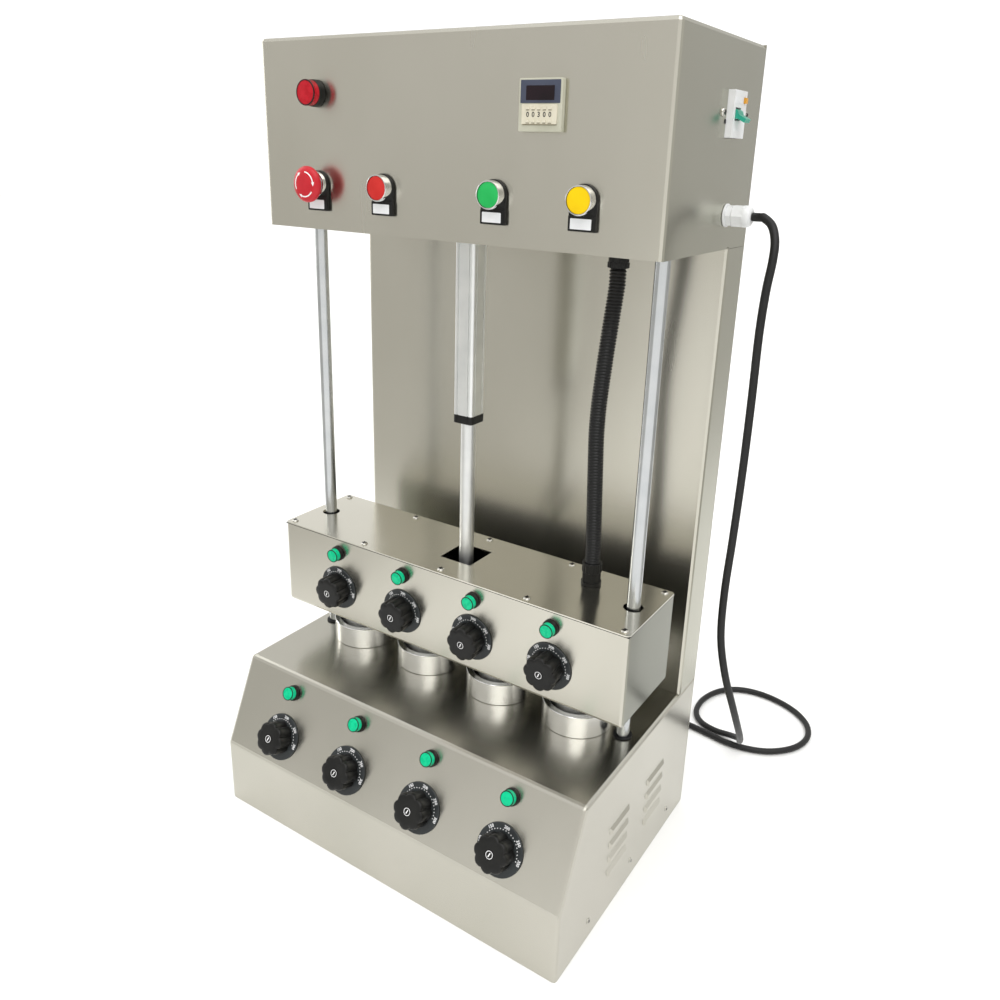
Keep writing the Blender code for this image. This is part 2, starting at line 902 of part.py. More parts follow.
def make_lower_moulds():
    """Four turned moulds: a collar on the base top, a body through it and a conical cavity."""
    pocket = plunger_tip - plunger_nose - pocket_depth
    lip = mould_top - mould_mouth_chamfer
    mouth_radius = plunger_radius_at(mould_top) + dough_gap
    profile = [
        (0, pocket),
        (plunger_tip_radius, pocket),
        (plunger_tip_radius + dough_gap, plunger_tip),
        (mouth_radius, lip),
        (mouth_radius + mould_mouth_chamfer, mould_top),
        (collar_radius, mould_top),
        (collar_radius, collar_bottom),
        (mould_body_radius, collar_bottom),
        (mould_body_radius, mould_bottom),
        (0, mould_bottom),
    ]
    for number, x in enumerate(mould_places, 1):
        mould = turned(profile, mould_sides)
        mould.transform(Matrix.Translation((x, rod_row, 0)))
        make_piece(f"lower_mould_{number}", mould, bright_aluminium)


def make_heaters():
    """The band heaters round the mould bodies, clamped to one rail behind them."""
    inner = mould_body_radius + touch_gap
    outer = inner + heater_band_wall
    rail_front = rod_row + outer - heater_rail_bite
    rail_low = heater_band_low + (heater_band_height - heater_rail_height) / 2
    reach = mould_places[-1] + outer / 2
    heaters = make_piece(
        "mould_heaters",
        block(
            (-reach, rail_front, rail_low),
            (reach, rail_front + heater_rail_thickness, rail_low + heater_rail_height),
        ),
        brown_ceramic,
    )
    bands = bmesh.new()
    for x in mould_places:
        band = ring(inner, outer, heater_band_low, heater_band_low + heater_band_height, mould_sides)
        add(bands, band, Matrix.Translation((x, rod_row, 0)))
    apply_tool(heaters, bands, "UNION")


def rod_bar(name, low):
    """A cross bar bored for both guide rods, standing on a floor."""
    across = rod_bar_width / 2
    along = rod_bar_depth / 2
    shape = block((-across, rod_row - along, low), (across, rod_row + along, low + rod_bar_height))
    bar = make_piece(name, shape, zinc_steel)
    bores = bmesh.new()
    for x in rod_places:
        bore = cylinder(rod_bore, low - overrun, low + rod_bar_height + overrun, rod_sides)
        add(bores, bore, Matrix.Translation((x, rod_row, 0)))
    return bar, bores


def make_guides():
    """Guide rods from the base tray into the head, their cross bars and the carriage bushes."""
    for side, x in zip(("left", "right"), rod_places):
        place = Matrix.Translation((x, rod_row, 0))
        rod = cylinder(rod_radius, floor_top, head_floor_top + rod_top_reach, rod_sides)
        make_piece(f"guide_rod_{side}", add(bmesh.new(), rod, place), hard_chrome)
        bush = ring(rod_bore, bush_radius, carriage_floor_top, carriage_floor_top + bush_length, rod_sides)
        make_piece(f"guide_bush_{side}", add(bmesh.new(), bush, place), zinc_steel)
    foot_bar, bores = rod_bar("rod_foot_bar", floor_top)
    apply_tool(foot_bar, bores, "DIFFERENCE")
    bar_low = head_floor_top + touch_gap
    head_bar, bores = rod_bar("head_cross_bar", bar_low)
    reach = tube_width / 2 + touch_gap
    add(bores, block(
        (-reach, rod_row - reach, bar_low - overrun),
        (reach, rod_row + reach, bar_low + rod_bar_height + overrun),
    ))
    apply_tool(head_bar, bores, "DIFFERENCE")


def make_carriage():
    """The carriage box with its folded-in top lips, its lid and its plungers."""
    outline = [
        (carriage_front, carriage_bottom),
        (carriage_back, carriage_bottom),
        (carriage_back, box_top),
        (carriage_front, box_top),
    ]

    def is_open(start, end):
        return min(start.z, end.z) > box_top - touch_gap

    shape = folded_form(outline, half_width, fold_radius, is_open)
    box = make_piece("carriage_box", shape, brushed_steel)
    inner = inset_outline(outline, sheet)

    def is_inner_open(start, end):
        return min(start.z, end.z) > box_top - sheet - touch_gap

    hollow = folded_form(inner, half_width - sheet, fold_radius - sheet, is_inner_open)
    apply_tool(box, hollow, "DIFFERENCE")

    inset = sheet + carriage_lip
    opening = half_width - inset
    cuts = bmesh.new()
    add(cuts, block(
        (-opening, carriage_front + inset, box_top - sheet - touch_gap),
        (opening, carriage_back - inset, box_top + overrun),
    ))
    floor_level = carriage_bottom + sheet
    for x in mould_places:
        hole = plunger_root_radius + plunger_hole_clearance
        drill(cuts, Matrix.Translation((x, rod_row, floor_level)), hole, mould_sides)
    for x in rod_places:
        drill(cuts, Matrix.Translation((x, rod_row, floor_level)), rod_hole_radius, rod_sides)
    for place in carriage_dials:
        drill(cuts, place, thermostat_bush_radius + panel_hole_clearance, small_sides)
    for place in carriage_lamp_places:
        drill(cuts, place, lamp_neck_radius + panel_hole_clearance, small_sides)
    apply_tool(box, cuts, "DIFFERENCE")

    lid_bottom = carriage_top - sheet
    outline = plate_outline(half_width, carriage_front, carriage_back, fold_radius, fold_radius)
    lid = make_piece("carriage_lid", prism(outline, lid_bottom, carriage_top), brushed_steel)
    cuts = bmesh.new()
    across = lid_opening_width / 2
    along = lid_opening_depth / 2
    add(cuts, block(
        (-across, rod_row - along, lid_bottom - overrun),
        (across, rod_row + along, carriage_top + overrun),
    ))
    for x in rod_places:
        drill(cuts, Matrix.Translation((x, rod_row, carriage_top)), lid_rod_hole_radius, rod_sides)
    conduit_hole = Matrix.Translation((conduit_bottom_place, conduit_row, carriage_top))
    drill(cuts, conduit_hole, nut_neck_radius + panel_hole_clearance, small_sides)
    apply_tool(lid, cuts, "DIFFERENCE")


def make_plungers():
    """Four plungers under one heated plate on the carriage floor."""
    flange_top = plunger_root + plunger_flange_height
    nose = plunger_tip - plunger_nose
    profile = [
        (0, plunger_root + plunger_flange_height / 2),
        (plunger_root_radius, plunger_root + plunger_flange_height / 2),
        (plunger_root_radius, plunger_root),
        (plunger_tip_radius, plunger_tip),
        (plunger_tip_radius * plunger_nose_share, nose),
        (0, nose),
    ]
    across = mould_places[-1] + plunger_flange_radius
    plate = block(
        (-across, rod_row - plunger_flange_radius, plunger_root),
        (across, rod_row + plunger_flange_radius, flange_top),
    )
    piece = make_piece("upper_moulds", plate, bright_aluminium)
    plungers = bmesh.new()
    for x in mould_places:
        add(plungers, turned(profile, mould_sides), Matrix.Translation((x, rod_row, 0)))
    apply_tool(piece, plungers, "UNION")


def tube_outline():
    """The square tube's outline: corner lobes set off by a shallow groove on every side."""
    half = tube_width / 2
    side = [
        (-half, -half),
        (-half + tube_lobe, -half),
        (-half + tube_lobe, -half + tube_groove),
        (-half + tube_lobe + tube_groove_width, -half + tube_groove),
        (-half + tube_lobe + tube_groove_width, -half),
        (half - tube_lobe - tube_groove_width, -half),
        (half - tube_lobe - tube_groove_width, -half + tube_groove),
        (half - tube_lobe, -half + tube_groove),
        (half - tube_lobe, -half),
    ]
    outline = []
    for quarter in range(4):
        turn = Matrix.Rotation(quarter * pi / 2, 2)
        outline.extend(tuple(turn @ Vector(point)) for point in side)
    return outline


def make_actuator():
    """The linear actuator: tube, end cap, drive above, and the push rod with its bracket."""
    axis = Matrix.Translation((0, rod_row, 0))
    tube_shape = add(bmesh.new(), prism(tube_outline(), tube_bottom, tube_top), axis)
    tube = make_piece("actuator_tube", tube_shape, anodised_aluminium)
    bore = cylinder(push_rod_bore, tube_bottom - overrun, tube_top + overrun, rod_sides)
    apply_tool(tube, add(bmesh.new(), bore, axis), "DIFFERENCE")

    cap_top = tube_bottom - touch_gap
    cap_bottom = cap_top - end_cap_height
    reach = end_cap_width / 2
    cap_shape = block((-reach, -reach, cap_bottom), (reach, reach, cap_top))
    cap = make_piece("actuator_end_cap", add(bmesh.new(), cap_shape, axis), black_plastic)
    bore = cylinder(push_rod_bore, cap_bottom - overrun, cap_top + overrun, rod_sides)
    apply_tool(cap, add(bmesh.new(), bore, axis), "DIFFERENCE")

    drive_low = tube_top + touch_gap
    drive_top = drive_low + gearbox_height
    across = gearbox_width / 2
    along = gearbox_depth / 2
    gearbox = block((-across, -along, drive_low), (across, along, drive_top))
    drive = make_piece("actuator_drive", add(bmesh.new(), gearbox, axis), black_plastic)
    motor = cylinder(motor_radius, drive_top - overrun, machine_height - motor_top_drop, rod_sides)
    apply_tool(drive, add(bmesh.new(), motor, axis), "UNION")

    bracket_low = plunger_root + plunger_flange_height + touch_gap
    bracket_top = bracket_low + bracket_height
    across = bracket_width / 2
    along = bracket_depth / 2
    bracket_shape = block((-across, -along, bracket_low), (across, along, bracket_top))
    bracket = make_piece("rod_bracket", add(bmesh.new(), bracket_shape, axis), zinc_steel)
    socket_floor = bracket_top - bracket_socket_depth
    socket = cylinder(push_rod_radius + touch_gap, socket_floor, bracket_top + overrun, rod_sides)
    apply_tool(bracket, add(bmesh.new(), socket, axis), "DIFFERENCE")
    rod = cylinder(push_rod_radius, socket_floor + touch_gap, push_rod_top, rod_sides)
    make_piece("actuator_rod", add(bmesh.new(), rod, axis), hard_chrome)


def thermostat_shape():
    """A thermostat behind its panel, its bush through the panel and the dial plate on the bush."""
    back = -sheet - touch_gap
    plate_top = touch_gap + dial_plate_thickness
    return turned(
        [
            (0, plate_top),
            (dial_plate_radius, plate_top),
            (dial_plate_radius, touch_gap),
            (thermostat_bush_radius, touch_gap),
            (thermostat_bush_radius, back),
            (thermostat_radius, back),
            (thermostat_radius, back - thermostat_depth),
            (0, back - thermostat_depth),
        ],
        dial_sides,
    )


def lamp_shape(lens_radius, height, ring_radius, ring_height, neck_radius, depth):
    """A signal lamp: domed lens, black ring on the panel and a body behind it."""
    return turned(
        [
            (0, height),
            (lens_radius * lens_crown_share, height),
            (lens_radius, height * lens_shoulder_share),
            (lens_radius, ring_height),
            (ring_radius, ring_height),
            (ring_radius, touch_gap),
            (neck_radius, touch_gap),
            (neck_radius, -depth),
            (0, -depth),
        ],
        small_sides,
    )


def knob_shape():
    """A dial knob with shallow grip lobes and a bare recessed disc."""
    count = knob_lobes * knob_points_per_lobe
    low = dial_plate_thickness + 2 * touch_gap
    top = low + knob_height
    shoulder = top - knob_top_chamfer
    disc = top - knob_disc_depth

    def round_ring(radius, height, notch):
        points = []
        for index in range(count):
            turn = tau * index / count
            reach = radius - (notch if index % knob_points_per_lobe == 0 else 0)
            points.append((reach * cos(turn), reach * sin(turn), height))
        return points

    return loft(
        [
            round_ring(knob_radius * knob_skirt_share, low, knob_notch),
            round_ring(knob_radius, shoulder, knob_notch),
            round_ring(knob_radius - knob_top_chamfer, top, 0),
            round_ring(knob_disc_radius, top, 0),
            round_ring(knob_disc_radius, disc, 0),
        ]
    )


def joining_strip(places, height, low, high):
    """A strip across a row of places, from one depth to another."""
    reach = (places[-1].translation - places[0].translation).length / 2
    middle = places[0].copy()
    middle.translation = (places[0].translation + places[-1].translation) / 2
    strip = block((-reach, -height / 2, low), (reach, height / 2, high))
    strip.transform(middle)
    return strip


def make_dials(group, dials, lamps):
    """A row of four dials: thermostats on their strip, signal lamps on theirs, and knobs."""
    back = -sheet - touch_gap - thermostat_depth
    half = thermostat_strip_thickness / 2
    strip = joining_strip(dials, thermostat_strip_height, back - half, back + half)
    row = make_piece(f"{group}_thermostats", strip, dark_dial)
    thermostats = bmesh.new()
    bores = bmesh.new()
    bore = shaft_radius + shaft_clearance
    for place in dials:
        add(thermostats, thermostat_shape(), place)
        add(bores, cylinder(bore, -shaft_depth - shaft_clearance, overrun, shaft_sides), place)
    apply_tool(row, thermostats, "UNION")
    apply_tool(row, bores, "DIFFERENCE")

    half = lamp_strip_thickness / 2
    strip = joining_strip(lamps, lamp_strip_height, -lamp_depth - half, -lamp_depth + half)
    row = make_piece(f"{group}_lamps", strip, green_lens)
    lamp_row = bmesh.new()
    for place in lamps:
        lamp = lamp_shape(
            lamp_lens_radius, lamp_height, lamp_ring_radius, lamp_ring_height, lamp_neck_radius, lamp_depth
        )
        add(lamp_row, lamp, place)
    apply_tool(row, lamp_row, "UNION")

    shaft_top = dial_plate_thickness + knob_height / 2
    for number, place in enumerate(dials, 1):
        knob = make_piece(f"{group}_knob_{number}", knob_shape(), black_plastic, place)
        apply_tool(knob, cylinder(shaft_radius, -shaft_depth, shaft_top, shaft_sides), "UNION")


def button_body(bezel_top, bore_radius, bore_depth):
    """A bezel on the label holder, its threaded neck and the contact block behind the panel."""
    seat = plate_thickness / 2
    thread_end = -sheet - button_thread_length
    return turned(
        [
            (0, -bore_depth),
            (bore_radius, -bore_depth),
            (bore_radius, bezel_top),
            (bezel_radius - bezel_lip, bezel_top),
            (bezel_radius, bezel_top - bezel_lip),
            (bezel_radius, seat),
            (button_neck_radius, seat),
            (button_neck_radius, thread_end),
            (button_body_radius, thread_end),
            (button_body_radius, -button_body_depth),
            (0, -button_body_depth),
        ],
        small_sides,
    )


def make_buttons():
    """The stop button and the three push buttons."""
    cap_top = bezel_height - cap_recess
    cap_back = cap_top - cap_length
    disc_low = cap_top - cap_disc
    bore_depth = -(cap_back - cap_travel - touch_gap)
    stop_depth = plunger_pin_depth + stop_travel + touch_gap
    across = plate_width / 2
    for name, x, finish in button_row():
        place = button_place(x)
        if name == "stop":
            body = button_body(stop_bezel_height, stop_bore_radius, stop_depth)
            bore = cylinder(stop_bore_radius, -stop_depth, stop_bezel_height + overrun, small_sides)
        else:
            stem_bore = cap_stem_radius + cap_clearance
            body = button_body(bezel_height, stem_bore, bore_depth)
            bore = turned(
                [
                    (0, bezel_height + overrun),
                    (cap_radius + cap_clearance, bezel_height + overrun),
                    (cap_radius + cap_clearance, disc_low - cap_travel - touch_gap),
                    (stem_bore, disc_low - cap_travel - touch_gap),
                    (stem_bore, -bore_depth),
                    (0, -bore_depth),
                ],
                small_sides,
            )
        body.transform(place)
        bore.transform(place)
        piece = make_piece(f"{name}_button_body", body, chrome)
        low = (-across, plate_top_reach - plate_height, touch_gap)
        holder = block(low, (across, plate_top_reach, plate_thickness))
        holder.transform(place)
        apply_tool(piece, holder, "UNION")
        apply_tool(piece, bore, "DIFFERENCE")
        if name == "stop":
            continue
        cap = turned(
            [
                (0, cap_top),
                (cap_radius * cap_crown_share, cap_top),
                (cap_radius, cap_top - cap_crown),
                (cap_radius, disc_low),
                (cap_stem_radius, disc_low),
                (cap_stem_radius, cap_back),
                (0, cap_back),
            ],
            small_sides,
        )
        make_piece(f"{name}_button_cap", cap, finish, place)

    stop = button_place(stop_place)
    pin = turned(
        [
            (0, plunger_pin_tip),
            (plunger_pin_radius, plunger_pin_tip),
            (plunger_pin_radius, plunger_pin_shoulder),
            (plunger_pin_body_radius, plunger_pin_shoulder),
            (plunger_pin_body_radius, -plunger_pin_depth),
            (0, -plunger_pin_depth),
        ],
        small_sides,
    )
    make_piece("stop_plunger", pin, zinc_steel, stop)
    socket = plunger_pin_radius + touch_gap
    neck_low = plunger_pin_shoulder + touch_gap
    mushroom = turned(
        [
            (0, mushroom_top),
            (mushroom_radius * mushroom_crown_share, mushroom_top),
            (mushroom_radius * mushroom_edge_share, (mushroom_top + mushroom_rim_high) / 2),
            (mushroom_radius, mushroom_rim_high),
            (mushroom_radius, mushroom_rim_low),
            (mushroom_neck_radius, neck_low),
            (socket, neck_low),
            (socket, plunger_pin_tip + touch_gap),
            (0, plunger_pin_tip + touch_gap),
        ],
        dial_sides,
    )
    make_piece("stop_mushroom", mushroom, mushroom_red, stop)


def make_power_lamp():
    """The red lamp that shows the machine is on."""
    lamp = lamp_shape(
        power_lens_radius, power_lamp_height, power_ring_radius, power_ring_height,
        power_lamp_neck_radius, power_lamp_depth,
    )
    lamp.transform(front_place(power_lamp_place, head_front, power_lamp_middle))
    make_piece("power_lamp", lamp, red_lens)


def make_timer():
    """The panel timer: a frame on the panel, a sunk window and a raised block of wheels."""
    place = front_place(timer_place, head_front, timer_middle)
    frame = timer_width / 2
    body = timer_body_width / 2
    face = timer_width / 2 - timer_frame
    timer_shape = stacked(
        [
            (-body, body, -body, body, -timer_body_depth),
            (-body, body, -body, body, touch_gap),
            (-frame, frame, -frame, frame, touch_gap),
            (-frame, frame, -frame, frame, timer_proud - timer_frame),
            (-face, face, -face, face, timer_proud),
        ]
    )
    timer = make_piece("timer", add(bmesh.new(), timer_shape, place), cream_plastic)
    left = -frame + timer_window_left
    top = frame - timer_window_drop
    window = block(
        (left, top - timer_window_height, timer_proud - timer_recess),
        (left + timer_window_width, top, timer_proud + overrun),
    )
    apply_tool(timer, add(bmesh.new(), window, place), "DIFFERENCE")
    half = timer_block_width / 2
    block_top = frame - timer_block_drop
    wheels = block(
        (-half, block_top - timer_block_height, timer_proud - timer_recess),
        (half, block_top, timer_proud + timer_block_proud),
    )
    apply_tool(timer, add(bmesh.new(), wheels, place), "UNION")


def make_breaker():
    """The circuit breaker through the head's right wall, its strap, toggle and test button."""
    wall = wall_place(1)
    low = breaker_row - breaker_width / 2
    high = breaker_row + breaker_width / 2
    nose = breaker_height / 2
    body = breaker_body_height / 2
    inside = -sheet - touch_gap
    shoulder = inside - breaker_shoulder
    outline = [
        (breaker_middle - body, -breaker_body_depth),
        (breaker_middle + body, -breaker_body_depth),
        (breaker_middle + body, shoulder),
        (breaker_middle + nose, shoulder),
        (breaker_middle + nose, breaker_proud),
        (breaker_middle - nose, breaker_proud),
        (breaker_middle - nose, shoulder),
        (breaker_middle - body, shoulder),
    ]
    breaker_shape = prism(outline, low, high)
    upright = Matrix(((0, 1, 0, half_width), (0, 0, 1, 0), (1, 0, 0, 0), (0, 0, 0, 1)))
    breaker_shape.transform(upright)
    breaker = make_piece("breaker_body", breaker_shape, white_plastic)
    across = toggle_width / 2 + running_gap
    cuts = bmesh.new()
    add(cuts, block(
        (toggle_row - across, toggle_middle - toggle_slot_height / 2, breaker_proud - toggle_slot_depth),
        (toggle_row + across, toggle_middle + toggle_slot_height / 2, breaker_proud + overrun),
    ), wall)
    reach = test_button_width / 2
    well = reach + running_gap
    well_floor = breaker_proud - test_button_depth - test_button_travel - touch_gap
    add(cuts, block(
        (test_button_row - well, test_button_middle - well, well_floor),
        (test_button_row + well, test_button_middle + well, breaker_proud + overrun),
    ), wall)
    apply_tool(breaker, cuts, "DIFFERENCE")

    button = block(
        (-reach, -reach, -test_button_depth), (reach, reach, test_button_proud)
    )
    button_place = wall @ Matrix.Translation((test_button_row, test_button_middle, breaker_proud))
    make_piece("breaker_test_button", button, amber_plastic, button_place)

    barrel_depth = breaker_proud - toggle_slot_depth / 2
    pivot = wall @ Matrix.Translation((toggle_row, toggle_middle, barrel_depth + toggle_barrel_radius / 2))
    barrel = cylinder(toggle_barrel_radius, -toggle_width / 2, toggle_width / 2, small_sides)
    barrel.transform(Matrix.Rotation(pi / 2, 4, "Y"))
    toggle = make_piece("breaker_toggle", barrel, teal_plastic, pivot)
    lever = block(
        (-toggle_width / 2, -toggle_lever_thickness / 2, 0),
        (toggle_width / 2, toggle_lever_thickness / 2, toggle_lever_length),
    )
    lever.transform(Matrix.Rotation(toggle_rest_angle, 4, "X"))
    apply_tool(toggle, lever, "UNION")

    side = breaker_width / 2 + touch_gap
    back = -breaker_body_depth - touch_gap
    reach = breaker_strap_reach
    outline = [
        (-reach, inside),
        (-reach, inside - sheet),
        (-side - sheet, inside - sheet),
        (-side - sheet, back - sheet),
        (side + sheet, back - sheet),
        (side + sheet, inside - sheet),
        (reach, inside - sheet),
        (reach, inside),
        (side, inside),
        (side, back),
        (-side, back),
        (-side, inside),
    ]
    strap = prism(outline, -breaker_strap_height / 2, breaker_strap_height / 2)
    level = Matrix(((0, 1, 0, half_width), (1, 0, 0, breaker_row), (0, 0, -1, breaker_middle), (0, 0, 0, 1)))
    strap.transform(level)
    make_piece("breaker_bracket", strap, zinc_steel)


def make_gland():
    """The cable gland: sealing ring, hexagon, domed cap and a lock nut inside the wall."""
    place = side_place(1, gland_row, gland_middle)
    nut_top = -sheet - touch_gap
    nut_low = nut_top - gland_nut_height
    round_shape = turned(
        [
            (0, gland_reach),
            (gland_tip_radius, gland_reach),
            (gland_dome_radius, gland_cap_height),
            (gland_dome_radius, gland_ring_height),
            (gland_ring_radius, gland_ring_height),
            (gland_ring_radius, touch_gap),
            (gland_thread_radius, touch_gap),
            (gland_thread_radius, -gland_thread_length),
            (0, -gland_thread_length),
        ],
        small_sides,
    )
    gland = make_piece("cable_gland", add(bmesh.new(), round_shape, place), white_plastic)
    hexes = bmesh.new()
    flange = gland_ring_height + touch_gap
    hexagon = turned(
        [
            (0, gland_cap_height),
            (gland_cap_radius, gland_cap_height),
            (gland_cap_radius, gland_hex_height),
            (gland_hex_radius, gland_hex_height),
            (gland_hex_radius, flange),
            (0, flange),
        ],
        hex_sides,
    )
    add(hexes, hexagon, place)
    add(hexes, cylinder(gland_nut_radius, nut_low, nut_top, hex_sides), place)
    apply_tool(gland, hexes, "UNION")


def swept_tube(name, points, radii, resolution):
    """Sweep a round section along points, with a radius at each, into a closed curve."""
    curve = bpy.data.curves.new(name, "CURVE")
    curve.dimensions = "3D"
    curve.bevel_depth = radii[0]
    curve.bevel_resolution = resolution
    curve.use_fill_caps = True
    spline = curve.splines.new("POLY")
    spline.points.add(len(points) - 1)
    for index, point in enumerate(points):
        spline.points[index].co = (*point, 1)
        spline.points[index].radius = radii[index] / radii[0]
    return curve


def curve_piece(name, curve, finish):
    """Put a swept curve in the scene as a sub-part."""
    curve.materials.append(make_material(name, finish))
    obj = bpy.data.objects.new(name, curve)
    bpy.context.collection.objects.link(obj)
    return obj


def curve_as_shape(curve):
    """Turn a swept curve into a bmesh that Booleans can use."""
    guide = bpy.data.objects.new(curve.name, curve)
    bpy.context.collection.objects.link(guide)
    bpy.context.view_layer.update()
    mesh = bpy.data.meshes.new_from_object(guide.evaluated_get(bpy.context.evaluated_depsgraph_get()))
    shape = bmesh.new()
    shape.from_mesh(mesh)
    bmesh.ops.remove_doubles(shape, verts=shape.verts, dist=weld_distance)
    bmesh.ops.recalc_face_normals(shape, faces=shape.faces)
    bpy.data.objects.remove(guide)
    bpy.data.curves.remove(curve)
    bpy.data.meshes.remove(mesh)
    return shape


def smooth_curve(places, samples):
    """Points on a smooth curve through places, as many between each two."""
    padded = [places[0] * 2 - places[1]] + places + [places[-1] * 2 - places[-2]]
    points = []
    for before, start, end, after in zip(padded, padded[1:], padded[2:], padded[3:]):
        for index in range(samples):
            t = index / samples
            bend = (after - end * 3 + start * 3 - before) * t
            slope = before * 2 - start * 5 + end * 4 - after
            points.append(start + ((end - before) + (slope + bend) * t) * (t / 2))
    points.append(places[-1])
    return points


def even_points(points, step):
    """Points about one step apart along a dense line, both of its ends kept."""
    lengths = [0]
    for start, end in zip(points, points[1:]):
        lengths.append(lengths[-1] + (end - start).length)
    count = max(2, round(lengths[-1] / step))
    chosen = []
    index = 0
    for number in range(count + 1):
        target = lengths[-1] * number / count
        while index < len(points) - 2 and lengths[index + 1] < target:
            index += 1
        stretch = lengths[index + 1] - lengths[index]
        chosen.append(points[index].lerp(points[index + 1], (target - lengths[index]) / stretch))
    return chosen


def line_length(points):
    """Length along a line of points."""
    return sum((end - start).length for start, end in zip(points, points[1:]))


conduit_low = carriage_top + nut_height + touch_gap
conduit_high = head_bottom - fitting_height - touch_gap


def conduit_line():
    """The conduit's middle line, bowed a little, with a straight stretch at each end."""
    low = Vector((conduit_bottom_place, conduit_row, conduit_low))
    high = Vector((conduit_top_place, conduit_row, conduit_high))
    straight = Vector((0, 0, 2 * conduit_radius))
    places = [low + straight]
    for height_share, bow_share in conduit_bow_shares:
        place = low.lerp(high, height_share)
        place.x += conduit_bow * bow_share
        places.append(place)
    places.append(high - straight)
    return [low] + smooth_curve(places, conduit_ribs) + [high]


def make_conduit():
    """The ribbed conduit with its bore, the nut on the lid and the fitting under the head."""
    line = conduit_line()
    step = line_length(line) / (2 * conduit_ribs)
    points = even_points(line, step)
    radii = [conduit_radius if index % 2 == 0 else conduit_valley_radius for index in range(len(points))]
    hose_shape = curve_as_shape(swept_tube("conduit_sweep", points, radii, 2))
    hose = make_piece("conduit", hose_shape, black_plastic)
    bore_line = even_points(line, 2 * conduit_radius)
    reach = Vector((0, 0, overrun))
    bore_points = [bore_line[0] - reach] + bore_line + [bore_line[-1] + reach]
    bore = swept_tube("conduit_bore", bore_points, [conduit_bore_radius] * len(bore_points), 2)
    apply_tool(hose, curve_as_shape(bore), "DIFFERENCE")

    seat = carriage_top + touch_gap
    nut_place = Matrix.Translation((conduit_bottom_place, conduit_row, 0))
    collar_low = carriage_top + nut_height - nut_collar_height
    nut = turned(
        [
            (0, carriage_top + nut_height),
            (nut_collar_radius, carriage_top + nut_height),
            (nut_collar_radius, seat + nut_flange_height),
            (nut_radius, seat + nut_flange_height),
            (nut_radius, seat),
            (nut_neck_radius, seat),
            (nut_neck_radius, seat - nut_neck_length),
            (0, seat - nut_neck_length),
        ],
        small_sides,
    )
    nut_piece = make_piece("conduit_bottom_nut", add(bmesh.new(), nut, nut_place), black_plastic)
    hexagon = cylinder(nut_radius, seat + nut_flange_height / 2, collar_low, hex_sides)
    apply_tool(nut_piece, add(bmesh.new(), hexagon, nut_place), "UNION")

    top = head_bottom
    top_place = Matrix.Translation((conduit_top_place, conduit_row, 0))
    collar_top = top - fitting_height + fitting_collar_height
    fitting = turned(
        [
            (0, top + fitting_neck_length),
            (nut_neck_radius, top + fitting_neck_length),
            (nut_neck_radius, top),
            (fitting_radius, top),
            (fitting_radius, top - nut_flange_height),
            (nut_collar_radius, top - nut_flange_height),
            (nut_collar_radius, top - fitting_height),
            (0, top - fitting_height),
        ],
        small_sides,
    )
    fitting_piece = make_piece("conduit_top_fitting", add(bmesh.new(), fitting, top_place), black_plastic)
    hexagon = cylinder(fitting_radius, collar_top, top - nut_flange_height / 2, hex_sides)
    apply_tool(fitting_piece, add(bmesh.new(), hexagon, top_place), "UNION")


def coil_point(turns):
    """A point of the coil: spiralling in on the table and out again a layer higher."""
    turn = pi / 2 + tau * turns
    half = coil_turns / 2
    drawn_in = half - abs(turns - half)
    radius = coil_middle_radius + coil_layer_step * (coil_turns / 4 - drawn_in)
    climb = min(1, max(0, (turns - half) * 2 + 1 / 2))
    lift = coil_layer_step * climb * climb * (3 - 2 * climb)
    x = half_width + coil_offset[0] + radius * cos(turn)
    y = back_face + coil_offset[1] + radius * sin(turn)
    return Vector((x, y, cord_radius + touch_gap + lift))


def coil_line():
    """The coil's turns with a straight start and the lead that runs out to the plug."""
    count = coil_turns * coil_points_per_turn
    turns = [coil_point(index / coil_points_per_turn) for index in range(count + 1)]
    start = turns[0] + Vector((cord_diameter, 0, 0))
    last = turns[-1]
    rise = plug_axis_height - last.z
    out = Vector((-plug_lead, 0, 0))
    climb = out * (1 - plug_lead_straight_share)
    lead = []
    for share in plug_lead_rise_shares:
        lead.append(last + climb * share + Vector((0, 0, rise * share * share * (3 - 2 * share))))
    lead.append(last + climb + Vector((0, 0, rise)))
    lead.append(last + out + Vector((0, 0, rise)))
    return [start] + turns + lead


def least_gap(points):
    """The least distance between two turns of a coil, less the cord's own diameter."""
    least = None
    neighbours = coil_points_per_turn // 2
    for index, point in enumerate(points):
        for other in range(index + neighbours, len(points) - 1):
            start = points[other]
            stretch = points[other + 1] - start
            share = min(1, max(0, (point - start).dot(stretch) / stretch.length_squared))
            distance = (start + stretch * share - point).length
            least = distance if least is None else min(least, distance)
    return least - cord_diameter


def route_points():
    """The cord's route as points, the last of them on the table."""
    lying = cord_radius + touch_gap
    shares = cord_height_shares + (0,) * (len(cord_route) - len(cord_height_shares))
    points = []
    for (beyond_wall, beyond_back), share in zip(cord_route, shares):
        height = lying + (gland_middle - lying) * share
        points.append(Vector((half_width + beyond_wall, back_face + beyond_back, height)))
    return points


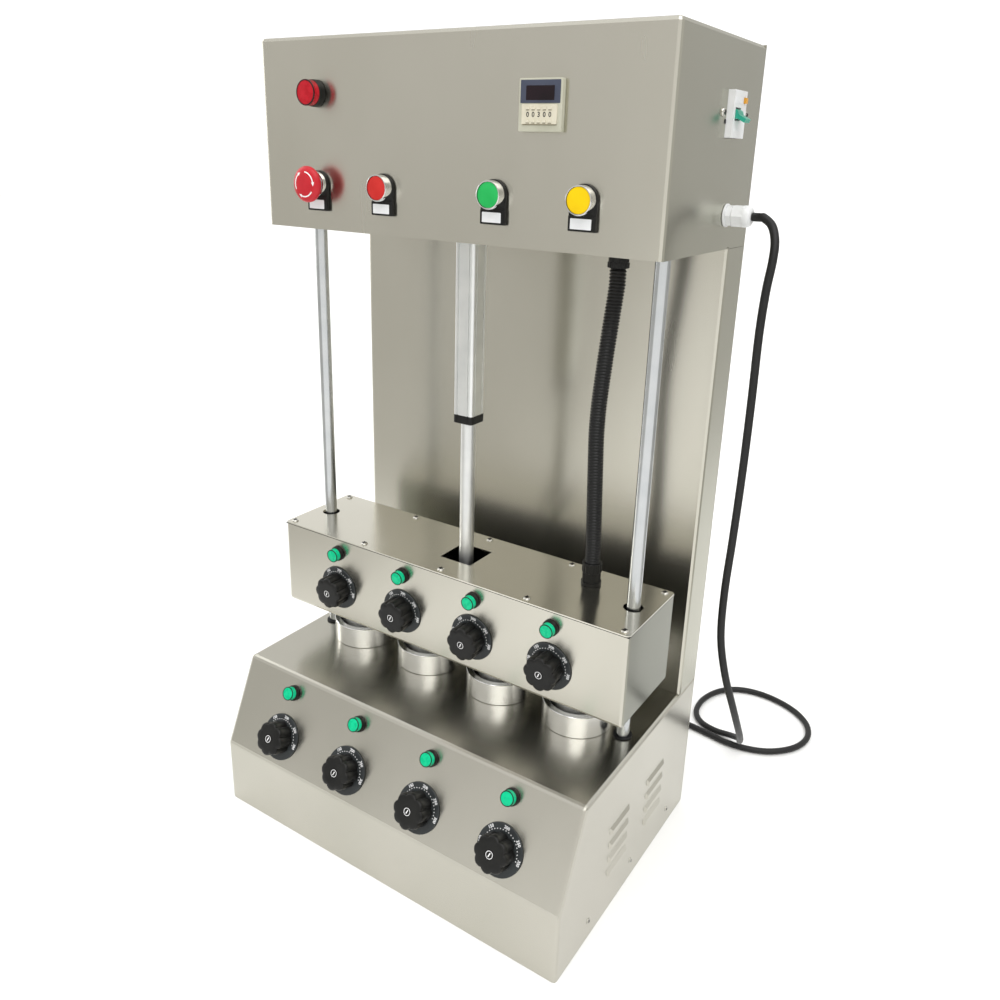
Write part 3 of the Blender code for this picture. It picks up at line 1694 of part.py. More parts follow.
def make_cord():
    """The power cord's free stretch, its coil behind the machine and the plug."""
    tip = Vector((half_width + gland_reach + touch_gap, gland_row, gland_middle))
    coil = coil_line()
    end = coil[0] + Vector((touch_gap, 0, 0))
    straight = Vector((cord_diameter, 0, 0))
    places = [tip + straight] + route_points() + [end + straight]
    points = [tip] + even_points(smooth_curve(places, coil_points_per_turn), cord_step) + [end]
    cord = swept_tube("power_cord", points, [cord_radius] * len(points), cord_sides_resolution)
    curve_piece("power_cord", cord, black_rubber)
    winding = swept_tube("cord_coil", coil, [cord_radius] * len(coil), coil_sides_resolution)
    curve_piece("cord_coil", winding, black_rubber)
    print(f"cord on its route {line_length(points):.3f} m, coil {line_length(coil):.3f} m")
    print(f"least gap of the coil to itself {least_gap(coil) * 1000:.2f} mm")

    relief = plug_relief_length
    grip = relief + plug_grip_length
    face = grip + plug_face_length
    shape = turned(
        [
            (0, 0),
            (plug_relief_radius, 0),
            (plug_grip_radius, relief),
            (plug_grip_radius, grip),
            (plug_face_radius, grip + plug_face_length / 3),
            (plug_face_radius, face),
            (0, face),
        ],
        rod_sides,
    )
    socket = coil[-1] - Vector((touch_gap, 0, 0))
    place = Matrix.Translation(socket) @ Matrix.Rotation(-pi / 2, 4, "Y")
    plug = make_piece("power_plug", add(bmesh.new(), shape, place), black_plastic)
    pins = bmesh.new()
    for y in evenly(2, plug_pin_spacing):
        pin = cylinder(plug_pin_radius, face - overrun, face + plug_pin_length, shaft_sides)
        add(pins, pin, place @ Matrix.Translation((0, y, 0)))
    apply_tool(plug, pins, "UNION")


def main():
    """Empty the scene and build every sub-part."""
    for obj in list(bpy.data.objects):
        bpy.data.objects.remove(obj, do_unlink=True)
    make_base_shell()
    make_base_floor()
    make_column()
    make_head()
    make_lower_moulds()
    make_heaters()
    make_guides()
    make_carriage()
    make_plungers()
    make_actuator()
    make_dials("base", base_dials, base_lamp_places)
    make_dials("carriage", carriage_dials, carriage_lamp_places)
    make_buttons()
    make_power_lamp()
    make_timer()
    make_breaker()
    make_gland()
    make_conduit()
    make_cord()


main()
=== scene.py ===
# The countertop pizza cone machine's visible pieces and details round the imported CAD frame, its
# procedural materials, the studio and the camera.
# Places are in metres, +Z up, front towards -Y, as in the frame; outlines of parts are in millimetres.

from math import atan2, cos, pi, radians, sin, tau

import bmesh
import bpy
from mathutils import Matrix, Vector


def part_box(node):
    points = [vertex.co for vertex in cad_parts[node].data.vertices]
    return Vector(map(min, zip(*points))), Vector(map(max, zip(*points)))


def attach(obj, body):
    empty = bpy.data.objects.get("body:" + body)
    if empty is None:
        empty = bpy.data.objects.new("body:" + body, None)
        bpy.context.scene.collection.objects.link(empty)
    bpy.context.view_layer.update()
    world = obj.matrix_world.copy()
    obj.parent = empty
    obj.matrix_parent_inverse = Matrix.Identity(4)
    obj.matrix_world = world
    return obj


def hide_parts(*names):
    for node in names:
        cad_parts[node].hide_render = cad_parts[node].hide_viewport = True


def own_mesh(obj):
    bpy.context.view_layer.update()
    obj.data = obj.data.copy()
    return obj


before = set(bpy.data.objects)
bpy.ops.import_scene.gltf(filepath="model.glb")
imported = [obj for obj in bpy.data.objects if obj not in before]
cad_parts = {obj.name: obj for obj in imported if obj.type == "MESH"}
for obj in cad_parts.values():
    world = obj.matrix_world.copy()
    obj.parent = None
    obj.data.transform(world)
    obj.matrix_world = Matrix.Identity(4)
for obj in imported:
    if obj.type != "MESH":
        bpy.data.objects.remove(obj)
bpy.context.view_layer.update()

# Places that the CAD model also has
half_width = 0.26
base_front = -0.178
base_height = 0.201
strip_height = 0.089
slope_run = 0.05
head_front = -0.053
carriage_front = -0.054
carriage_top = 0.374
rod_row = 0.0085
rod_xs = {"left": -0.235, "right": 0.235}
mould_pitch = 0.115
# Facing pieces stand this far apart
gap = 0.0003
# How proud printed numbers stand
print_height = 0.00006

# Power cord: 9 mm round lead from the gland to the plug behind the machine
cord_radius = 0.0045
gland_row = 0.105
gland_height = 0.8067
cord_tip = Vector((0.2893, gland_row, gland_height))
# Its route in millimetres: down from the gland, and then flat on the table
cord_drop = (
    (302, 104, 806.4), (312.5, 100, 799), (319.5, 92.5, 784), (321.5, 85.5, 764), (320, 81, 735),
    (319, 79, 690), (320, 78, 620), (320, 77.5, 540), (318.5, 77.5, 460), (316.5, 77.5, 390),
    (318, 80, 330), (326, 88, 278), (334, 108, 227), (335, 144, 173), (326, 197, 121), (313, 247, 80),
    (301, 293, 47), (289, 329, 24), (270, 348, 10),
)
cord_on_table = (
    (245, 353), (219, 361), (202, 384), (199, 421), (211, 458), (234, 483), (265, 494), (301, 492),
    (337, 478), (363, 452), (372, 418), (362, 383), (336, 354), (305, 339), (270, 334.5), (235, 339),
    (200, 342), (160, 335), (125, 323),
)
coil_middle = (0.082, 0.262)
coil_radius = 0.0495
coil_layer_step = 0.0097
coil_turns = 2
plug_lead = 0.056
plug_axis_height = 0.0187

# Where the conduit leaves its nut and meets its fitting under the head
conduit_low = (0.1672, 0.033, 0.4033)
conduit_high = (0.1742, 0.033, 0.7497)

# The four panel buttons
button_height = 0.8215
button_xs = {"stop": -0.1745, "rise": -0.0765, "down": 0.0713, "start": 0.1752}
# The outline of the stop button's top, from its middle out, in millimetres
dome = ((0, 25), (4.5, 25), (9.5, 24.92), (13.5, 24.5), (16.5, 23.6), (18.6, 22.2))


def at(x, y, z=0):
    """A place without a turn."""
    return Matrix.Translation((x, y, z))


def row_of_four(pitch):
    """How far to the side four evenly spaced things stand."""
    return [(index - 1.5) * pitch for index in range(4)]


def new_object(name, data):
    """A new object in the scene."""
    made = bpy.data.objects.new(name, data)
    bpy.context.collection.objects.link(made)
    return made


def add_camera():
    """The photograph's viewpoint, with the lens measured from the machine's own edges."""
    data = bpy.data.cameras.new("photo_camera")
    data.lens = 31.57
    data.sensor_width = 36
    data.shift_x = -0.0057
    data.shift_y = -0.049
    data.clip_start = 0.05
    data.clip_end = 60
    data.dof.use_dof = False
    camera = new_object("photo_camera", data)
    yaw = Matrix.Rotation(0.5684, 4, "Z")
    pitch = Matrix.Rotation(pi / 2 - 0.327, 4, "X")
    roll = Matrix.Rotation(0.0317, 4, "Z")
    camera.matrix_world = at(0.5887, -0.8273, 0.8617) @ yaw @ pitch @ roll
    bpy.context.scene.camera = camera


# Settings that several nodes have
rgba = {"data_type": "RGBA"}
absolute, multiply, multiply_add, maximum, minimum = (
    {"operation": name} for name in ("ABSOLUTE", "MULTIPLY", "MULTIPLY_ADD", "MAXIMUM", "MINIMUM"))


def linear(hex_colour):
    """An sRGB hex colour as linear red, green, blue and alpha."""
    channels = [int(hex_colour[start:start + 2], 16) / 255 for start in (1, 3, 5)]
    return [c / 12.92 if c <= 0.04045 else ((c + 0.055) / 1.055) ** 2.4 for c in channels] + [1]


def feed(tree, node, **inputs):
    """Set or link a node's inputs, each by its socket's name or place."""
    for name, value in inputs.items():
        socket = node.inputs[int(name[1:])] if name[1:].isdigit() else node.inputs[name.replace("_", " ")]
        if isinstance(value, bpy.types.Node):
            value = next(output for output in value.outputs if output.enabled)
        if isinstance(value, bpy.types.NodeSocket):
            tree.links.new(value, socket)
        else:
            socket.default_value = value


def add_node(tree, kind, settings=None, **inputs):
    """Add one shader node with its settings and feed its inputs."""
    node = tree.nodes.new("ShaderNode" + kind)
    for name, value in (settings or {}).items():
        setattr(node, name, value)
    feed(tree, node, **inputs)
    return node


def new_material(name, **constants):
    """A material with its shader's constants set, as its node tree and shader."""
    material = bpy.data.materials.new(name)
    material.use_nodes = True
    tree = material.node_tree
    shader = tree.nodes["Principled BSDF"]
    feed(tree, shader, **constants)
    return material, tree, shader


def pattern(tree, millimetres, stretch=(1, 1, 1), detail=3):
    """Noise over the object's own coordinates with lumps of a size in millimetres, from 0 to 1."""
    place = add_node(tree, "TexCoord").outputs["Object"]
    mapped = add_node(tree, "Mapping", Vector=place, Scale=stretch)
    noise = add_node(tree, "TexNoise", Vector=mapped, Scale=1000 / millimetres, Detail=detail)
    return add_node(tree, "MapRange", Value=noise, From_Min=0.3, From_Max=0.7)


def colour_and_gloss(tree, shader, lumps, dark, light, smooth, rough):
    """Let one pattern move a surface between two colours and two roughnesses."""
    tint = add_node(tree, "Mix", rgba, i0=lumps, i6=linear(dark), i7=linear(light))
    gloss = add_node(tree, "MapRange", Value=lumps, To_Min=smooth, To_Max=rough)
    feed(tree, shader, Base_Color=tint, Roughness=gloss)


def upright_blur(tree):
    """The direction that brushing along the sheet's width blurs: up a wall, and back over a top."""
    normal = add_node(tree, "NewGeometry").outputs["True Normal"]
    height = add_node(tree, "SeparateXYZ", Vector=normal).outputs["Z"]
    flat = add_node(tree, "Math", absolute, i0=height)
    upright = add_node(tree, "Math", {"operation": "SUBTRACT"}, i0=1, i1=flat)
    return add_node(tree, "CombineXYZ", Y=flat, Z=upright)


def steel(name, dark, light, side, roughness):
    """Satin stainless sheet with fine lines and cloudy marks; sides, backs and undersides take a painted
    shade in the side colour.
    """
    material, tree, shader = new_material(name, Metallic=1, Anisotropic=0.75)
    # Brushed lines are 0.1 mm apart; they are drawn 0.8 mm apart, or they wouldn't show
    lines = pattern(tree, 0.8, (0.008, 0.008, 1), 2)
    # Rolled sheet is cloudy over 200 mm, and a cloth leaves marks 60 mm wide
    clouds = pattern(tree, 200, (1, 1, 0.5))
    marks = pattern(tree, 60, (1, 1, 0.2))
    cloudy = add_node(tree, "Mix", rgba, i0=clouds, i6=linear(dark), i7=linear(light))
    faint = add_node(tree, "MapRange", Value=lines, To_Max=0.16)
    lined = add_node(tree, "Mix", rgba, i0=faint, i6=cloudy, i7=linear(light))
    # Painted shade: faces that look sideways, backwards or down are multiplied by the side colour
    normal = add_node(tree, "NewGeometry").outputs["True Normal"]
    facing = add_node(tree, "SeparateXYZ", Vector=normal).outputs
    sideways = add_node(tree, "Math", absolute, i0=facing["X"])
    downwards = add_node(tree, "Math", multiply, i0=facing["Z"], i1=-1)
    back_or_under = add_node(tree, "Math", maximum, i0=downwards, i1=facing["Y"])
    painted_shade_facing = add_node(tree, "Math", maximum, i0=sideways, i1=back_or_under)
    painted_shade_amount = add_node(tree, "MapRange", Value=painted_shade_facing, From_Min=0.8, From_Max=1)
    with_painted_shade = add_node(tree, "Mix", {**rgba, "blend_type": "MULTIPLY"}, i0=painted_shade_amount, i6=lined, i7=linear(side))
    gloss = add_node(tree, "MapRange", Value=marks, To_Min=roughness - 0.012, To_Max=roughness + 0.015)
    relief = add_node(tree, "Bump", Height=lines, Strength=0.012, Distance=0.0001)
    feed(tree, shader, Base_Color=with_painted_shade, Roughness=gloss, Tangent=upright_blur(tree), Normal=relief)
    return material


def turned_metal(name, dark, light, roughness, spacing, strength):
    """Metal turned round an upright axis, with lines a spacing in millimetres apart."""
    material, tree, shader = new_material(name, Metallic=1, Anisotropic=0.6)
    # Handling leaves marks 30 mm wide
    colour_and_gloss(tree, shader, pattern(tree, 30), dark, light, roughness - 0.02, roughness + 0.03)
    # Tool lines are 0.1 mm apart; they are drawn coarser, or they wouldn't show
    lines = pattern(tree, spacing, (0.01, 0.01, 1))
    relief = add_node(tree, "Bump", Height=lines, Strength=strength, Distance=0.0002)
    feed(tree, shader, Tangent=upright_blur(tree), Normal=relief)
    return material


def moulded(name, dark, light, roughness, grain, strength, specular=0.5):
    """Moulded plastic or rubber: a grain in millimetres, and slow changes of tone and gloss."""
    material, tree, shader = new_material(name, Specular_IOR_Level=specular)
    # Plastic's tone drifts over 22 mm
    colour_and_gloss(tree, shader, pattern(tree, 22), dark, light, roughness - 0.05, roughness + 0.06)
    # A mould's grain is 0.1 mm; it is drawn coarser, or it wouldn't show
    fine = pattern(tree, grain, detail=2)
    feed(tree, shader, Normal=add_node(tree, "Bump", Height=fine, Strength=strength, Distance=0.0002))
    return material


def lit_lens(name, deep, bright, edge, glow):
    """A clear coloured lens: deeper colour where it turns away, and a soft glow of light within it."""
    material, tree, shader = new_material(name, IOR=1.49, Specular_IOR_Level=0.15, Coat_Weight=0.08,
                                          Coat_Roughness=0.1, Emission_Strength=glow)
    facing = add_node(tree, "LayerWeight", Blend=0.35).outputs["Facing"]
    # Soft facets, 6 mm wide, within the lens
    cells = pattern(tree, 6, detail=1)
    colour_and_gloss(tree, shader, cells, deep, bright, 0.24, 0.32)
    glowing = add_node(tree, "Mix", rgba, i0=cells, i6=linear(deep), i7=linear(bright))
    away = add_node(tree, "MapRange", Value=facing, From_Min=0.25, From_Max=0.85)
    colour = add_node(tree, "Mix", rgba, i0=away, i6=glowing, i7=linear(edge))
    feed(tree, shader, Base_Color=colour, Emission_Color=colour)
    return material


looks = {
    # Warm satin stainless of the casings; the side sheets, backs and undersides take a faint painted shade,
    # a little darker and bluer than the front
    "casing": steel("stainless_casing", "#C2BFB3", "#CBC8BD", "#E4E6E2", 0.26),
    # The carriage's folded ends, back and underside take a darker painted shade than its front
    "carriage": steel("stainless_carriage", "#C1BEB3", "#CAC7BC", "#A4A8A3", 0.25),
    # The base's louvred ends are as bright as its front
    "base": steel("stainless_base", "#B6B4A9", "#C0BDB3", "#FFFFFF", 0.25),
    # The lid is the brightest and smoothest sheet
    "top": steel("stainless_lid", "#D4D1C5", "#DBD8CC", "#FFFFFF", 0.19),
    # Sheets behind and inside aren't wiped and look dull
    "behind": steel("stainless_back", "#B8B4A9", "#C2BFB4", "#FFFFFF", 0.34),
    # Zinc-plated brackets, bars and bushes: dull and slightly blue
    "zinc": turned_metal("zinc_plated_steel", "#9FA3A6", "#BEC1C3", 0.38, 3, 0.04),
    # Hard-chromed guide rods: cool and smooth, with faint lines
    "rod": turned_metal("ground_chrome_rod", "#B9BCBE", "#C6C8C9", 0.22, 1, 0.02),
    # The push rod is duller, with a soft highlight
    "push_rod": turned_metal("satin_push_rod", "#D2D3D2", "#DEDFDD", 0.4, 1, 0.03),
    # The actuator's drawn tube is anodised, so it is pale and has no sharp highlight
    "anodised": turned_metal("anodised_aluminium_tube", "#DEE0DF", "#E9EAE8", 0.36, 9, 0.01),
    # Turned aluminium moulds: bright and smooth, with faint tool lines
    "mould": turned_metal("turned_aluminium", "#F3F3F3", "#F7F7F7", 0.22, 1.2, 0.004),
    # The plungers are blasted, so they are dull and even
    "plunger": turned_metal("blasted_aluminium", "#E6E6E3", "#F0F0EE", 0.55, 1.2, 0.03),
    # Nickel-plated screw heads: a dark and a bright side
    "screw": turned_metal("nickel_screw", "#BDBBB3", "#CFCDC6", 0.2, 2, 0.01),
    # Chromed button rings: as sharp as a mirror
    "chrome": turned_metal("button_chrome", "#D0D0CE", "#E6E6E4", 0.09, 2, 0.01),
    # Nylon of knobs, nuts and label holders: black with a soft sheen
    "black": moulded("black_nylon", "#0F0F0E", "#181816", 0.38, 1.1, 0.04, 0.25),
    # Dial plates: enamelled sheet, a little blue
    "scale": moulded("dial_plate_enamel", "#252829", "#2E3233", 0.46, 1.4, 0.03, 0.35),
    # Ribbed polyamide conduit: deep black; it also paints the shadow line under the lid
    "hose": moulded("black_conduit_and_lid_shadow", "#080808", "#0F0F0F", 0.36, 2, 0.05, 0.35),
    # Cord rubber: matt, nearly even black
    "rubber": moulded("cord_rubber", "#141414", "#1B1B1B", 0.5, 0.9, 0.08, 0.35),
    # The heater jackets under the base top are fired clay
    "ceramic": moulded("heater_jacket", "#6B4E3B", "#86644D", 0.6, 3, 0.2),
    # White polycarbonate of the breaker and gland: clean, slightly blue
    "white": moulded("white_polycarbonate", "#DCDDDD", "#E7E8E9", 0.36, 1.6, 0.04),
    # Timer case: aged cream ABS with a low gloss
    "cream": moulded("timer_cream_abs", "#B5B4A2", "#C0BFAE", 0.4, 1.6, 0.04, 0.3),
    # The timer's wheels are newer and warmer than its case; the dark brown paints the shadows in the gaps
    # under the wheel panel and its buttons
    "ivory": moulded("timer_ivory_abs", "#CFC9B5", "#D9D3C0", 0.42, 1.6, 0.03, 0.3),
    "shade": moulded("timer_painted_shadow", "#77705A", "#857E68", 0.6, 1.6, 0.03, 0.2),
    "slate": moulded("timer_slate_abs", "#3E4353", "#494E5F", 0.34, 1.6, 0.03, 0.3),
    # The display's dark filter: glossy acrylic
    "window": moulded("timer_acrylic", "#12060D", "#1C0C15", 0.14, 5, 0.01, 0.3),
    # Printed marks; the black one also paints the shade in screw recesses and a small wall hole
    "print_and_shade": moulded("black_print_and_painted_shade", "#141414", "#1E1E1E", 0.5, 1.6, 0.02),
    "marks": moulded("white_print", "#E6E6E6", "#F6F6F6", 0.45, 1.6, 0.02),
    # Label inserts: coated paper
    "label": moulded("paper_label", "#DEE0E2", "#EAEBEC", 0.42, 2.5, 0.04),
    # Pressed ABS caps, coloured through
    "stop": moulded("stop_red_abs", "#B81C28", "#C62531", 0.34, 2, 0.04, 0.3),
    "rise": moulded("cap_red_abs", "#C02622", "#CB2F2A", 0.36, 2, 0.03, 0.25),
    "down": moulded("cap_green_abs", "#1CA951", "#28B55C", 0.36, 2, 0.03, 0.25),
    "start": moulded("cap_yellow_abs", "#E7BF00", "#F1CB02", 0.36, 2, 0.03, 0.2),
    "teal": moulded("toggle_teal_abs", "#1C8E76", "#28A288", 0.32, 2, 0.03),
    "amber": moulded("test_amber_abs", "#D79216", "#E8AC34", 0.34, 2, 0.03),
    # Lenses: polycarbonate lit from within, darker where they turn away
    "green_lens": lit_lens("green_polycarbonate", "#02A776", "#05B884", "#02543A", 0.22),
    "red_lens": lit_lens("red_polycarbonate", "#A00F1D", "#B01826", "#5A060E", 0.16),
    # The lenses' dark outer rims
    "green_rim": moulded("green_lens_rim", "#022018", "#043024", 0.3, 2, 0.02, 0.3),
    "red_rim": moulded("red_lens_rim", "#2A0407", "#3C060A", 0.3, 2, 0.02, 0.3),
}


def metres(*sizes):
    """Sizes in millimetres as metres."""
    return [size / 1000 for size in sizes]


def turned(profile, sides=64, place=Matrix()):
    """Spin an outline of (radius, height) points round Z; it is closed or ends on the axis."""
    shape = bmesh.new()
    points = [shape.verts.new(metres(radius, 0, height)) for radius, height in profile]
    for start, end in zip(points, points[1:]):
        shape.edges.new((start, end))
    geometry = shape.verts[:] + shape.edges[:]
    bmesh.ops.spin(shape, geom=geometry, axis=(0, 0, 1), angle=tau, steps=sides, use_merge=True)
    bmesh.ops.remove_doubles(shape, verts=shape.verts, dist=0.000002)
    bmesh.ops.recalc_face_normals(shape, faces=shape.faces)
    shape.transform(place)
    return shape


def loft(rings, hollow=False):
    """A closed solid through rings of points, from the lowest up, or round a hole."""
    shape = bmesh.new()
    loops = [[shape.verts.new(point) for point in points] for points in rings]
    if hollow:
        loops.append(loops[0])
    else:
        shape.faces.new(reversed(loops[0]))
        shape.faces.new(loops[-1])
    count = len(loops[0])
    for lower, upper in zip(loops, loops[1:]):
        for index in range(count):
            following = (index + 1) % count
            shape.faces.new((lower[index], lower[following], upper[following], upper[index]))
    if hollow:
        bmesh.ops.recalc_face_normals(shape, faces=shape.faces)
    return shape


def around(reaches, height):
    """Points evenly round Z, one for each reach."""
    turns = [tau * index / len(reaches) for index in range(len(reaches))]
    return [metres(reach * cos(turn), reach * sin(turn), height) for reach, turn in zip(reaches, turns)]


def prism(reaches, low, high, chamfer):
    """An upright solid with chamfered ends and corners evenly round Z, one for each reach."""
    levels = ((chamfer, low), (0, low + chamfer), (0, high - chamfer), (chamfer, high))
    return loft([around([reach - inset for reach in reaches], height) for inset, height in levels])


def block(low, high):
    """A block between two corners."""
    x0, y0, z0 = low
    x1, y1, z1 = high
    return loft([[(x0, y0, z), (x1, y0, z), (x1, y1, z), (x0, y1, z)] for z in (z0, z1)])


def rounded_block(half_x, half_y, low, high, corner, edge=0, steps=2):
    """A block with rounded upright corners and, at its top, a chamfered edge."""
    def ring(inset, height):
        points = []
        reach = max(corner - inset, 0.1)
        for sign_x, sign_y, start in ((1, 1, 0), (-1, 1, 1), (-1, -1, 2), (1, -1, 3)):
            for step in range(steps + 1):
                turn = (start + step / steps) * pi / 2
                x = sign_x * (half_x - corner) + reach * cos(turn)
                y = sign_y * (half_y - corner) + reach * sin(turn)
                points.append(metres(x, y, height))
        return points

    rings = [ring(0, low), ring(0, high - edge)]
    if edge:
        rings.append(ring(edge, high))
    return loft(rings)


def placed(shape, place):
    """Move a shape."""
    shape.transform(place)
    return shape


def joined(shapes):
    """Put several shapes into one."""
    whole = bmesh.new()
    for shape in shapes:
        mesh = bpy.data.meshes.new("joined")
        shape.to_mesh(mesh)
        shape.free()
        whole.from_mesh(mesh)
        bpy.data.meshes.remove(mesh)
    return whole


def piece(name, shape, look, body="machine", *replaces, edge=0, smooth=30):
    """A visible piece of one shape or a list, with its shading, edges, material and CAD body."""
    if isinstance(shape, list):
        shape = joined(shape)
    mesh = bpy.data.meshes.new(name)
    shape.to_mesh(mesh)
    shape.free()
    mesh.materials.append(looks[look])
    mesh.shade_smooth()
    mesh.set_sharp_from_angle(angle=radians(smooth))
    obj = new_object(name, mesh)
    if edge:
        bevel = obj.modifiers.new("edges", "BEVEL")
        bevel.width = edge
        bevel.segments = 2
        bevel.limit_method = "ANGLE"
        bevel.angle_limit = radians(smooth)
        bevel.harden_normals = True
    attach(obj, body)
    if replaces:
        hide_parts(*replaces)
    return obj


def front_place(x, y, z):
    """A place on a face that looks forwards: local Z points out of it, Y up."""
    return at(x, y, z) @ Matrix.Rotation(pi / 2, 4, "X")


def slope_place(x, share):
    """A place on the sloped panel, at a share of the way up it."""
    rise = base_height - strip_height
    lean = Matrix.Rotation(pi / 2 - atan2(slope_run, rise), 4, "X")
    return at(x, base_front + slope_run * share, strip_height + rise * share) @ lean


def wall_place(y, z):
    """A place on the right wall: local Z points out of it, X back along it, Y up."""
    turn = Matrix(((0, 0, 1, 0), (1, 0, 0, 0), (0, 1, 0, 0), (0, 0, 0, 1)))
    return at(half_width, y, z) @ turn


def words(text, size):
    """Raised print, centred on the origin."""
    curve = bpy.data.curves.new("print", "FONT")
    curve.body = text
    curve.size = size
    curve.extrude = print_height
    curve.offset = size * 0.02
    curve.resolution_u = 3
    curve.align_x = curve.align_y = "CENTER"
    guide = new_object("print", curve)
    bpy.context.view_layer.update()
    mesh = bpy.data.meshes.new_from_object(guide.evaluated_get(bpy.context.evaluated_depsgraph_get()))
    bpy.data.objects.remove(guide)
    shape = bmesh.new()
    shape.from_mesh(mesh)
    bpy.data.meshes.remove(mesh)
    return shape


def smooth_curve(places, samples):
    """Points on a smooth curve through places, as many between each two."""
    padded = [places[0] * 2 - places[1]] + places + [places[-1] * 2 - places[-2]]
    points = []
    for before, start, end, after in zip(padded, padded[1:], padded[2:], padded[3:]):
        for index in range(samples):
            t = index / samples
            bend = (after - end * 3 + start * 3 - before) * t
            slope = before * 2 - start * 5 + end * 4 - after
            points.append(start + ((end - before) + (slope + bend) * t) * (t / 2))
    points.append(places[-1])
    return points


def coil_point(turns):
    """A point of the coil: spiralling in on the table and out again a layer higher."""
    turn = pi / 2 + tau * turns
    half = coil_turns / 2
    drawn_in = half - abs(turns - half)
    radius = coil_radius + coil_layer_step * (coil_turns / 4 - drawn_in)
    climb = min(1, max(0, (turns - half) * 2 + 1 / 2))
    lift = coil_layer_step * climb * climb * (3 - 2 * climb)
    x, y = coil_middle
    return Vector((x + radius * cos(turn), y + radius * sin(turn), cord_radius + gap + lift))


def add_cord():
    """The whole power cord: the drop, the loop on the table, the coil, its tie and the plug."""
    straight = Vector((2 * cord_radius, 0, 0))
    samples = 36
    turns = [coil_point(index / samples) for index in range(coil_turns * samples + 1)]
    table = 1000 * (cord_radius + gap)
    route = cord_drop + tuple((x, y, table) for x, y in cord_on_table)
    places = [cord_tip + straight] + [Vector(metres(*place)) for place in route] + [turns[0] + straight * 2]
    last = turns[-1]
    rise = plug_axis_height - last.z
    out = Vector((-plug_lead, 0, 0))
    lead = []
    for step in range(1, 9):
        share = step / 8
        lead.append(last + out * 0.84 * share + Vector((0, 0, rise * share * share * (3 - 2 * share))))
    end = last + out + Vector((0, 0, rise))
    points = [cord_tip] + smooth_curve(places, 5) + [turns[0] + straight] + turns + lead + [end]
    curve = bpy.data.curves.new("power_cord_lead", "CURVE")
    curve.dimensions = "3D"
    curve.bevel_depth = cord_radius
    curve.bevel_resolution = 5
    curve.use_fill_caps = True
    spline = curve.splines.new("POLY")
    spline.points.add(len(points) - 1)
    for target, point in zip(spline.points, points):
        target.co = (*point, 1)
    curve.materials.append(looks["rubber"])
    cord = new_object("power_cord_lead", curve)
    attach(cord, "machine")
    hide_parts("power_cord", "cord_coil")

    def hoop(x, half, low, high):
        return [metres(x, y, z) for y, z in ((half, high), (-half, high), (-half, low), (half, low))]

    outside = (11.6, 0.1, 14.7)
    inside = (10.6, 0.5, 14)
    hoops = [hoop(-3.5, *outside), hoop(3.5, *outside), hoop(3.5, *inside), hoop(-3.5, *inside)]
    tie = loft(hoops, hollow=True)
    tie_place = at(coil_middle[0], coil_middle[1] - coil_radius)
    strap = piece("cord_tie", placed(tie, tie_place), "black", edge=0.0003, smooth=35)

    grip = 40
    face = 54
    profile = [(0, 0.1), (4.7, 0), (6.2, 0)]
    for ring in range(6):
        height = 1.2 + 3.4 * ring
        radius = 6.4 + 0.9 * ring
        profile += [(radius, height), (radius, height + 1.8), (radius - 0.9, height + 2.1),
                    (radius - 0.7, height + 3.1)]
    profile += [(11.8, 22), (12.5, 24), (12.5, grip - 3), (11.2, grip - 1), (11.8, grip + 1),
                (17.6, grip + 4.6), (18.3, grip + 6), (18.3, face - 0.8), (17.5, face), (0, face)]
    place = at(*(end - Vector((gap, 0, 0)))) @ Matrix.Rotation(-pi / 2, 4, "Y")
    plug = piece("plug_body", turned(profile, 48, place), "rubber", "machine", "power_plug", smooth=35)
    pin = [(0, face - 2), (2.4, face - 2), (2.4, face + 17.5), (1.6, face + 19), (0, face + 19.1)]
    pins = [turned(pin, 24, place @ at(0, y)) for y in (-0.0095, 0.0095)]
    pins_piece = piece("plug_pins", pins, "zinc", smooth=35)


def add_conduit():
    """The ribbed conduit as one fixed mesh; the real one shortens as the carriage rises."""
    low = Vector(conduit_low)
    high = Vector(conduit_high)
    straight = Vector((0, 0, 0.0185))
    places = [low + straight]
    for height_share, bow_share in ((0.3, 0.62), (0.5, 0.985), (0.7, 0.66)):
        place = low.lerp(high, height_share)
        place.x -= 0.0095 * bow_share
        places.append(place)
    places.append(high - straight)
    line = [low] + smooth_curve(places, 60) + [high]
    lengths = [0]
    for before, after in zip(line, line[1:]):
        lengths.append(lengths[-1] + (after - before).length)
    ribs = 96
    levels = (9.25, 9.25, 8.1, 7.9)
    count = ribs * len(levels)
    rings = []
    index = 0
    for number in range(count + 1):
        target = lengths[-1] * number / count
        while index < len(line) - 2 and lengths[index + 1] < target:
            index += 1
        share = (target - lengths[index]) / (lengths[index + 1] - lengths[index])
        middle = line[index].lerp(line[index + 1], share)
        radius = levels[number % len(levels)]
        rings.append([middle + Vector(point) for point in around([radius] * 28, 0)])
    hose = piece("ribbed_conduit", loft(rings), "hose", "machine", "conduit", smooth=60)
    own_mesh(hose)
    nut = [
        turned([(0, 366.4), (8.3, 366.4), (8.3, 374.3), (12.2, 374.3), (12.2, 378.3),
                (11, 378.8), (11, 396), (0, 396)]),
        prism([12.3] * 6, 378.6, 390, 0.5),
        prism([12, 12, 11.4, 11.4] * 18, 390.5, 402.9, 0.5),
    ]
    place = at(*conduit_low[:2])
    piece("conduit_nut", placed(joined(nut), place), "black", "carriage", "conduit_bottom_nut")
    fitting = [
        turned([(0, 784), (8.3, 784), (8.3, 770), (11.9, 770), (11.9, 766.2),
                (11, 765.8), (11, 750.2), (0, 750.2)]),
        prism([12] * 6, 756.8, 766, 0.5),
        prism([11.8, 11.8, 11.2, 11.2] * 18, 750.1, 756.2, 0.5),
    ]
    place = at(*conduit_high[:2])
    piece("conduit_fitting", placed(joined(fitting), place), "black", "machine", "conduit_top_fitting")


